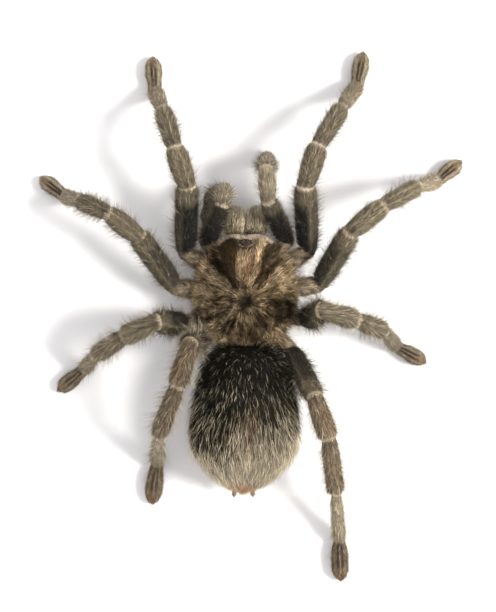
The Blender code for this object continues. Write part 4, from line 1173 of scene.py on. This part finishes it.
class Wiring:
    """Adds nodes to a tree and links them."""

    def __init__(self, tree):
        self.tree = tree

    def put(self, socket, value):
        if isinstance(value, bpy.types.NodeSocket):
            self.tree.links.new(value, socket)
        else:
            socket.default_value = value

    def node(self, kind, **settings):
        node = self.tree.nodes.new(kind)
        for name, value in settings.items():
            setattr(node, name, value)
        return node

    def math(self, operation, first, second=0.0, clamp=False):
        node = self.node("ShaderNodeMath", operation=operation, use_clamp=clamp)
        self.put(node.inputs[0], first)
        self.put(node.inputs[1], second)
        return node.outputs[0]

    def mix(self, factor, first, second, blend="MIX"):
        node = self.node("ShaderNodeMix", data_type="RGBA", blend_type=blend)
        self.put(node.inputs[0], factor)
        self.put(node.inputs[6], first)
        self.put(node.inputs[7], second)
        return node.outputs[2]

    def mark(self, name, output="Fac"):
        return self.node("ShaderNodeAttribute", attribute_name=name).outputs[output]

    def remap(self, value, low, high, to_low=0.0, to_high=1.0):
        node = self.node("ShaderNodeMapRange", interpolation_type="SMOOTHSTEP")
        for socket, number in zip(node.inputs[:5], (value, low, high, to_low, to_high)):
            self.put(socket, number)
        return node.outputs[0]

    def noise(self, vector, scale, detail):
        node = self.node("ShaderNodeTexNoise")
        self.put(node.inputs["Vector"], vector)
        self.put(node.inputs["Scale"], scale)
        self.put(node.inputs["Detail"], detail)
        return node.outputs["Fac"]

    def group(self, tree, **values):
        node = self.node("ShaderNodeGroup", node_tree=tree)
        for name, value in values.items():
            self.put(node.inputs[name.replace("_", " ")], value)
        return node.outputs[0]


def new_group(name, inputs, output):
    """An empty shader node group with these inputs and one output."""
    tree = bpy.data.node_groups.new(name, "ShaderNodeTree")
    for label, kind, value in inputs:
        socket = tree.interface.new_socket(label, in_out="INPUT", socket_type=kind)
        socket.default_value = value
    tree.interface.new_socket(output[0], in_out="OUTPUT", socket_type=output[1])
    wire = Wiring(tree)
    given = wire.node("NodeGroupInput").outputs
    result = wire.node("NodeGroupOutput").inputs[0]
    return wire, given, result


def streak_group():
    """Light and dark streaks along the lie of the coat, from 0 to 1."""
    inputs = (("Along", FLOAT, 0.25), ("Across", FLOAT, 1.6), ("Contrast", FLOAT, 1.0))
    wire, given, result = new_group("coat_streaks", inputs, ("Mask", FLOAT))
    parts = wire.node("ShaderNodeSeparateXYZ")
    wire.put(parts.inputs[0], wire.mark("lay", "Vector"))
    placed = wire.node("ShaderNodeCombineXYZ")
    wire.put(placed.inputs[0], wire.math("MULTIPLY", parts.outputs[0], given["Along"]))
    wire.put(placed.inputs[1], wire.math("MULTIPLY", parts.outputs[1], given["Across"]))
    wire.put(placed.inputs[2], parts.outputs[2])
    fine = wire.noise(placed.outputs[0], 1.0, 3.0)
    spread = wire.math("MULTIPLY", wire.math("SUBTRACT", fine, 0.5), given["Contrast"])
    wire.put(result, wire.math("ADD", wire.math("MULTIPLY", spread, 2.6), 0.5, clamp=True))
    return wire.tree


def marks_group():
    """The ground colour with the marks that skin and coat share."""
    inputs = [(name, COLOUR, WHITE) for name in ("Ground", "Dark", "Pale", "Flesh", "Warm")]
    wire, given, result = new_group("coat_marks", inputs, ("Color", COLOUR))
    colour = given["Ground"]
    for name in ("warm", "pale", "dark", "flesh"):
        colour = wire.mix(wire.mark(name), colour, given[name.capitalize()])
    wire.put(result, colour)
    return wire.tree


def strand_group():
    """A hair's own tone: some are lighter, roots are darker and tips a little lighter."""
    inputs = (("Color", COLOUR, WHITE), ("Root", FLOAT, 0.5), ("Low", FLOAT, 0.7), ("High", FLOAT, 1.4))
    wire, given, result = new_group("strand_tone", inputs, ("Color", COLOUR))
    light = wire.math("POWER", wire.mark("strand"), 1.8)
    reach = wire.math("SUBTRACT", given["High"], given["Low"])
    tone = wire.math("ADD", wire.math("MULTIPLY", light, reach), given["Low"])
    room = wire.math("SUBTRACT", 1.0, given["Root"])
    rise = wire.math("MULTIPLY", wire.remap(wire.mark("tip"), 0.0, 0.7), room)
    scale = wire.math("MULTIPLY", tone, wire.math("ADD", rise, given["Root"]))
    wire.put(result, wire.mix(1.0, given["Color"], scale, "MULTIPLY"))
    return wire.tree


def grain_group():
    """Fine folds and hair pits of bare skin, as a height."""
    wire, given, result = new_group("skin_grain", (("Scale", FLOAT, 2.5),), ("Height", FLOAT))
    lay = wire.mark("lay", "Vector")
    pits = wire.node("ShaderNodeTexVoronoi")
    wire.put(pits.inputs["Vector"], lay)
    wire.put(pits.inputs["Scale"], given["Scale"])
    folds = wire.noise(lay, wire.math("MULTIPLY", given["Scale"], 0.6), 4.0)
    wire.put(result, wire.math("ADD", pits.outputs["Distance"], folds))
    return wire.tree


def new_material(name, roughness, **settings):
    material = bpy.data.materials.new(name)
    material.use_nodes = True
    shader = material.node_tree.nodes["Principled BSDF"]
    shader.inputs["Roughness"].default_value = roughness
    shader.inputs["Specular IOR Level"].default_value = 0.3
    for label, value in settings.items():
        shader.inputs[label.replace("_", " ")].default_value = value
    return material, Wiring(material.node_tree), shader


def streaked(wire, groups, streaks, shade=1.0):
    """How much lighter or darker the streaks make a coat, round a shade."""
    along, across, contrast, deep = streaks
    mask = wire.group(groups["streaks"], Along=along, Across=across, Contrast=contrast)
    return wire.remap(mask, 0.0, 1.0, deep * shade, (2.0 - deep) * shade)


def coat_material(name, groups, colours, tone, streaks, roughness, **settings):
    """Hair: the shared marks, streaks along the coat, and each strand's own tone."""
    material, wire, shader = new_material(name, roughness, **settings)
    marked = wire.group(groups["marks"], **colours)
    shaded = wire.mix(1.0, marked, streaked(wire, groups, streaks), "MULTIPLY")
    root, low, high = tone
    toned = wire.group(groups["strand"], Color=shaded, Root=root, Low=low, High=high)
    wire.put(shader.inputs["Base Color"], toned)
    return material


def skin_material(name, groups, colours, streaks, roughness, depth, shade):
    """Skin under the coat, with the same marks and streaks in a darker shade, and a fine grain."""
    material, wire, shader = new_material(name, roughness)
    marked = wire.group(groups["marks"], **colours)
    tone = streaked(wire, groups, streaks, shade)
    bare = wire.math("MULTIPLY", wire.mark("flesh"), wire.math("SUBTRACT", 1.0, tone))
    wire.put(shader.inputs["Base Color"], wire.mix(1.0, marked, wire.math("ADD", tone, bare), "MULTIPLY"))
    bump = wire.node("ShaderNodeBump")
    bump.inputs["Strength"].default_value = 0.6
    bump.inputs["Distance"].default_value = depth / 1000
    wire.put(bump.inputs["Height"], wire.group(groups["grain"], Scale=2.5))
    wire.put(shader.inputs["Normal"], bump.outputs[0])
    return material


def horn_material(name, base, warm, roughness, polish=0.4):
    """Horn that turns to a second colour where it is marked warm."""
    material, wire, shader = new_material(name, roughness, Coat_Weight=polish, Coat_Roughness=0.1)
    wire.put(shader.inputs["Base Color"], wire.mix(wire.mark("warm"), base, warm))
    return material


def colours_of(ground, dark, pale, flesh, warm):
    """The colours of a coat's ground and marks."""
    colours = {"Ground": ground, "Dark": dark, "Pale": pale, "Flesh": flesh, "Warm": warm}
    return {name: paint(*colour) for name, colour in colours.items()}


def make_materials():
    makers = {"marks": marks_group, "streaks": streak_group, "strand": strand_group, "grain": grain_group}
    groups = {name: make() for name, make in makers.items()}
    limb = colours_of((140, 128, 104), (27, 26, 23), (214, 199, 170), (178, 148, 122), (160, 106, 66))
    bronze = colours_of((114, 93, 62), (34, 26, 12), (206, 182, 146), (200, 184, 166), (156, 110, 76))
    belly = colours_of((74, 66, 46), (23, 20, 9), (222, 208, 180), (178, 148, 122), (184, 112, 64))
    dull = {"Specular_IOR_Level": 0.18}
    down = coat_material("bronze_down", groups, bronze, SHIELD_TONE, SHIELD_STREAKS, 0.48, **dull)
    velvet = coat_material("black_velvet_hair", groups, belly, BELLY_TONE, BELLY_STREAKS, 0.5, **dull)
    return {
        "limb_coat": coat_material("grey_brown_hair", groups, limb, LIMB_TONE, LIMB_STREAKS, 0.5),
        "skin": skin_material("dark_skin", groups, limb, LIMB_STREAKS, 0.7, 0.12, 0.72),
        "bronze_down": down,
        "bronze_shell": skin_material("bronze_shell", groups, bronze, SHIELD_STREAKS, 0.5, 0.1, 0.6),
        "abdomen_hair": velvet,
        "abdomen_skin": skin_material("abdomen_skin", groups, belly, BELLY_STREAKS, 0.7, 0.12, 0.5),
        "eye": horn_material("eye_glass", paint(14, 12, 12), paint(104, 96, 80), 0.1),
        "hill": horn_material("eye_hill_horn", paint(26, 20, 15), paint(90, 72, 50), 0.7, 0.0),
        "horn": horn_material("black_horn", paint(20, 16, 14), paint(90, 34, 18), 0.18),
    }


def limb_hair(draw, limb, side, chain, surface):
    """A limb's coat, from down to bristles: it leaves the rims and the tarsus's lances bare."""
    last = len(chain) - 1
    on_leg = limb != "palp"
    scale = 1.0 if on_leg else PALP_HAIR_SCALE

    def off_joints(place, turn):
        """How far spots are from the joint before them and from the one after them."""
        at = Spots(side, chain, place, turn)
        return at.begun, np.where(at.index == last, FREE_END, at.left)

    def coated(place, turn):
        begun, left = off_joints(place, turn)
        thick = ease(begun, 0.0, 0.35) * (0.3 + 0.7 * ease(left, 0.05, 0.35))
        bald = lances(np.cos(turn) * outward(side), np.sin(turn), place - last) * (place >= last)
        return thick * (1 - 0.95 * bald) if on_leg else thick

    def bristled(place, turn):
        begun, left = off_joints(place, turn)
        sides = 0.3 + 0.7 * (1 - ease(np.sin(turn), 0.4, 0.95))
        return ease(begun, 0.3, 1.2) * ease(left, 0.3, 1.2) * sides * (place < last + 0.4)

    def shorter_at_ends(full, short, room=2.2):
        def length(place, turn):
            size = short + (full - short) * ease(off_joints(place, turn)[1], 0.2, room)
            return np.where(place > last, size * (0.8 - 0.15 * ease(place - last, 0.5, 1.0)), size)

        return length

    def fuzz_length(place, turn):
        return full_fuzz(place, turn) * sleek(place)

    def raised(place, turn):
        return (HAIRS["bristles"].lift + FLANK_LIFT * np.abs(np.cos(turn))) * sleek(place)

    full_fuzz = shorter_at_ends(HAIRS["dark_fuzz"].length * scale, 1.8, 2.6)
    sleek = lambda place: np.where((place > METATARSUS) & on_leg, 0.6, 1.0)
    on_femur = lambda place, end: (place > FEMUR) & (place < FEMUR + end)
    pale_places = lambda place, turn: bristled(place, turn) * np.where(on_femur(place, 0.8), 0.15, 1.0)
    femur_places = lambda place, turn: bristled(place, turn) * on_femur(place, 0.9)
    reach, pale_share = (4.8, 0.8) if limb == "leg_4" else (HAIRS["bristles"].length * scale, 0.4)
    mixed = lambda place, turn: 0.9 * (draw.random(len(place)) < pale_share)
    share = sum(part.length for part in chain) / HAIRS_LIMB_LENGTH
    where = "rear_" if limb in ("leg_3", "leg_4") else ""
    fuzz = {"share": share, "length": fuzz_length, "lift": raised}
    dark, pale, ends = {"pale": 0.0, "dark": 0.5}, {"pale": 0.8, "dark": 0.0}, {"pale": mixed, "dark": 0.25}
    down_length = shorter_at_ends(HAIRS["limb_down"].length, 0.8)
    hair_length = shorter_at_ends(HAIRS["limb_hair"].length * scale, 0.9)
    bristles = {"length": shorter_at_ends(reach, 2.2, 3.0), "lift": raised, "curl": 0.2, "marked": ends}
    return [
        sow(draw, surface, "limb_down", share, length=down_length, density=coated),
        sow(draw, surface, "limb_hair", share, length=hair_length, density=coated),
        sow(draw, surface, where + "dark_fuzz", density=bristled, marked=dark, **fuzz),
        sow(draw, surface, where + "pale_fuzz", density=pale_places, marked=pale, **fuzz),
        sow(draw, surface, "femur_hair" if on_leg else "palp_femur_hair", density=femur_places),
        sow(draw, surface, "bristles", share, density=bristled, **bristles),
    ]


def abdomen_hair(draw, surface):
    """The velvet under-coat of the abdomen, longer at the sides in front."""

    def beside(place, turn):
        return ease(np.abs(np.cos(turn)), 0.35, 0.7) * span(place, 10, 12, 16, 30)

    def length(place, turn):
        longer = 1.3 * ease(-np.cos(turn), 0.3, 0.8) * (1 - ease(place, 18, 27))
        return HAIRS["side_velvet"].length + longer

    return [
        sow(draw, surface, "velvet"),
        sow(draw, surface, "long_velvet"),
        sow(draw, surface, "side_velvet", length=length, density=beside),
    ]


def abdomen_long_hair(draw, surface):
    """The long cream hairs of the abdomen, which crowd together towards its rear."""

    def sparse(place, turn):
        sides = 0.8 * ease(np.abs(np.cos(turn)), 0.5, 0.95) * ease(place, 18, 30)
        return (0.6 + 0.4 * ease(place, 18, 30) + sides) * ease(place, 11.0, 14.0)

    def crowded(place, turn):
        # Painted shade: the cream hairs crowd in later on the left side, away from the key light
        shade_lag = 6.0 * ease(np.cos(turn), -0.1, 0.6) * (1 - ease(place, 43, 46))
        return ease(place - shade_lag, 24, 48) ** 1.3

    def length(place, turn):
        return HAIRS["rear_cream"].length + 0.9 * ease(place, 14, 28) - 0.7 * ease(place, 40, 46)

    def raised(place, turn):
        return HAIRS["rear_cream"].lift + 16 * np.abs(np.cos(turn)) ** 2

    toward = lambda place, turn: np.stack([0 * place, 0.6 * ease(place, 24, 42), 0 * place], axis=1)
    rust = lambda place, turn: abdomen_marks(place, turn)["warm"] + 0.02
    at_tail = lambda place, turn: ease(place, 43.9, 44.6) * ease(np.sin(turn), -0.5, 0.2)
    mixed = lambda place, turn: np.where(draw.random(len(place)) < 0.8, 0.9, 0.25)
    cream, creams = {"dark": 0.0, "pale": 0.85, "warm": 0.0}, {"dark": 0.0, "pale": mixed, "warm": 0.0}
    lie = {"length": length, "lift": raised, "toward": toward}
    rusty, orange = {"dark": 0.0, "pale": 0.15, "warm": 0.7}, {"dark": 0.0, "pale": 0.2, "warm": 0.9}
    return [
        sow(draw, surface, "front_cream", density=sparse, marked=cream, **lie),
        sow(draw, surface, "rear_cream", density=crowded, marked=creams, **lie),
        sow(draw, surface, "rusty", density=rust, marked=rusty),
        sow(draw, surface, "tail", density=at_tail, marked=orange),
    ]


def carapace_hair(draw, surface):
    """Down in tufts that lie outward from the pit, with a longer fringe round the rim."""

    def swirl(place, turn):
        turned = (mottle(place * 14, turn * 6, 2.4) - 0.5) * 9
        strength = 0.5 * ease(place, 0.25, 0.7)
        return strength[:, None] * np.stack([np.cos(turned), np.sin(turned), 0 * place], axis=1)

    def on_shield(place, turn):
        off = off_front(turn)
        radius = place * curve(CARAPACE_OUTLINE, off)
        off_hill = np.hypot(np.sin(turn) * radius / 2.2, (13.3 - np.cos(turn) * radius) / 1.85) > 1.0
        return np.where(off < 27, place < 0.9, place < 0.97) * ease(place, 0.05, 0.12) * off_hill

    def on_rim(place, turn):
        return ease(place, 0.9, 0.95) * (place < 1.02) * ease(off_front(turn), 26, 40)

    def on_face(place, turn):
        return ease(place, 0.9, 0.93) * (place < 1.015) * (1 - ease(off_front(turn), 27, 31))

    def rim_length(place, turn):
        return HAIRS["carapace_fringe"].length + 1.0 * ease(-np.cos(turn), 0.6, 0.95)

    rim = {"length": rim_length, "density": on_rim, "curl": 0.2, "marked": {"pale": 0.55}}
    face_marks = {"pale": 0.6, "flesh": 0.7, "dark": 0.0, "warm": 0.0}
    return [
        sow(draw, surface, "carapace_down", density=on_shield, toward=swirl),
        sow(draw, surface, "carapace_tufts", density=on_shield, toward=swirl),
        sow(draw, surface, "carapace_fringe", **rim),
        sow(draw, surface, "face_band", density=on_face, marked=face_marks),
    ]


def hill_hair(draw, surface):
    """The hairs round the foot of the eye hill, and a few bristles between and before the eyes."""
    spread_out = lambda place, turn: np.stack([np.cos(turn), np.sin(turn), 0 * place], axis=1)
    behind = lambda place, turn: ease(place, 0.4, 0.5) * (place < 0.66) * ease(np.sin(turn), -0.35, 0.3)
    # The pale bristles before the eyes are partly painted highlight: they stand for glints off the front eyes
    # as well as for bristles
    before = lambda place, turn: ease(place, 0.3, 0.4) * (place < 0.6) * ease(-np.sin(turn), 0.2, 0.6)
    crown = lambda place, turn: (place < 0.3) * 1.0
    light, brown = {"pale": 0.9, "dark": 0.0}, {"warm": 0.5, "dark": 0.35}
    return [
        sow(draw, surface, "behind_eyes", density=behind, toward=spread_out, marked=light),
        sow(draw, surface, "before_eyes", density=before, toward=spread_out, marked=light),
        sow(draw, surface, "between_eyes", density=crown, toward=spread_out, marked=brown),
    ]


def jaw_hair(draw, surfaces):
    """Straight hair down the front of the jaws, and hair that closes the gap between them."""
    front = lambda place, turn: span(place, 0.8, 1.6, 5.6, 5.95)
    coats = []
    for side, surface in zip(SIDES, surfaces):
        along = lambda place: span(place, 0.3, 0.9, 5.0, 5.9)
        inner = lambda place, turn: along(place) * ease(np.cos(turn) * outward(side), 0.6, 0.85)
        coats.append(sow(draw, surface, "jaw_down", density=front))
        coats.append(sow(draw, surface, "jaw_hair", density=front))
        coats.append(sow(draw, surface, "between_jaws", density=inner))
    return coats


def underside_hair(draw, surface):
    return [sow(draw, surface, "breast_down"), sow(draw, surface, "breast_hair")]


def spinneret_hair(draw, surfaces):
    return [sow(draw, surface, "spinneret_down") for surface in surfaces]


def make_floor():
    mesh = bpy.data.meshes.new("floor")
    half = FLOOR_HALF
    corners = [(-half, -half, 0), (half, -half, 0), (half, half, 0), (-half, half, 0)]
    mesh.from_pydata(corners, [], [(0, 1, 2, 3)])
    material, _, shader = new_material("floor_paper", 0.9, Specular_IOR_Level=0.1)
    shader.inputs["Base Color"].default_value = FLOOR_COLOUR
    mesh.materials.append(material)
    floor = new_object("floor", mesh)


def make_camera():
    """Looks straight down, with the head at the top of the picture."""
    data = bpy.data.cameras.new("camera")
    data.sensor_fit = "VERTICAL"
    data.sensor_height = SENSOR_HEIGHT
    data.lens = SENSOR_HEIGHT * (CAMERA_HEIGHT - FOCUS_HEIGHT) / (PHOTO_SIZE[1] / PHOTO_SCALE)
    data.clip_start = 0.01
    camera = new_object("camera", data)
    across = -(PHOTO_SIZE[0] / 2 - PHOTO_PIT[0]) / PHOTO_SCALE
    back = (PHOTO_SIZE[1] / 2 - PHOTO_PIT[1]) / PHOTO_SCALE
    camera.location = np.array([across, back, CAMERA_HEIGHT]) / 1000 + PIT
    camera.rotation_euler = (0, 0, math.pi)
    bpy.context.scene.camera = camera


def make_lights():
    """A soft key light from the spider's right, and a bright pale surrounding."""
    sun = bpy.data.lights.new("key", "SUN")
    sun.energy = KEY_STRENGTH
    sun.angle = math.radians(KEY_SOFTNESS)
    sun.color = KEY_COLOUR
    key = new_object("key", sun)
    key.rotation_euler = (0, math.radians(-KEY_TILT), math.radians(-KEY_TURN))
    world = bpy.data.worlds.new("studio")
    world.use_nodes = True
    background = world.node_tree.nodes["Background"]
    background.inputs["Color"].default_value = STUDIO_COLOUR
    background.inputs["Strength"].default_value = STUDIO_STRENGTH
    bpy.context.scene.world = world
    bpy.context.scene.view_settings.view_transform = "Standard"


def main():
    make_camera()
    make_lights()
    make_floor()
    finishes = make_materials()
    draw = np.random.default_rng(SEED)

    flesh, claws = [], []
    for limb, side in LIMB_POSES:
        chain = limb_chain(limb, side)
        surface = limb_surface(limb, side, chain)
        surface.layer = LAYER_STEP * len(flesh)
        flesh.append(surface)
        claws += claw_surfaces(chain)
        hair = limb_hair(draw, limb, side, chain, surface)
        make_coat(f"{limb}_{side}_coat", hair, finishes["limb_coat"])
    jaws = [jaw_surface(side) for side in SIDES]
    spinnerets = [spinneret_surface(side) for side in SIDES]
    sternum = sternum_surface()
    for layer, surface in enumerate((*jaws, sternum, *spinnerets), len(flesh)):
        surface.layer = LAYER_STEP * layer
    skins = [*flesh, *jaws, sternum, pedicel_surface(), *spinnerets]
    hidden = sorted(set(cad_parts) - {"carapace", "eye_hill", "fang_left", "fang_right", "abdomen"})
    make_skin("skin", skins, finishes["skin"], hidden)

    abdomen = abdomen_surface()
    make_skin("abdomen_skin", [abdomen], finishes["abdomen_skin"], ["abdomen"])
    make_coat("abdomen_velvet", abdomen_hair(draw, abdomen), finishes["abdomen_hair"])
    make_coat("abdomen_long_hair", abdomen_long_hair(draw, abdomen), finishes["abdomen_hair"])

    carapace = carapace_surface()
    make_skin("carapace_shell", [carapace], finishes["bronze_shell"], ["carapace"])
    make_coat("carapace_down", carapace_hair(draw, carapace), finishes["bronze_down"])
    make_coat("jaw_coat", jaw_hair(draw, jaws), finishes["limb_coat"])
    make_coat("breast_coat", underside_hair(draw, sternum), finishes["limb_coat"])
    make_coat("spinneret_down", spinneret_hair(draw, spinnerets), finishes["limb_coat"])

    hill = dome_surface(EYE_HILL, EYE_HILL_RADII, *HILL_FINENESS)
    make_skin("eye_hill_dome", [hill], finishes["hill"], ["eye_hill"])
    make_coat("eye_hill_hair", hill_hair(draw, hill), finishes["bronze_down"])
    make_skin("eyes", eye_surfaces(), finishes["eye"])
    for side in SIDES:
        make_skin(f"fang_{side}_horn", [fang_surface(side)], finishes["horn"], [f"fang_{side}"])
    make_skin("claws", claws, finishes["horn"])


main()
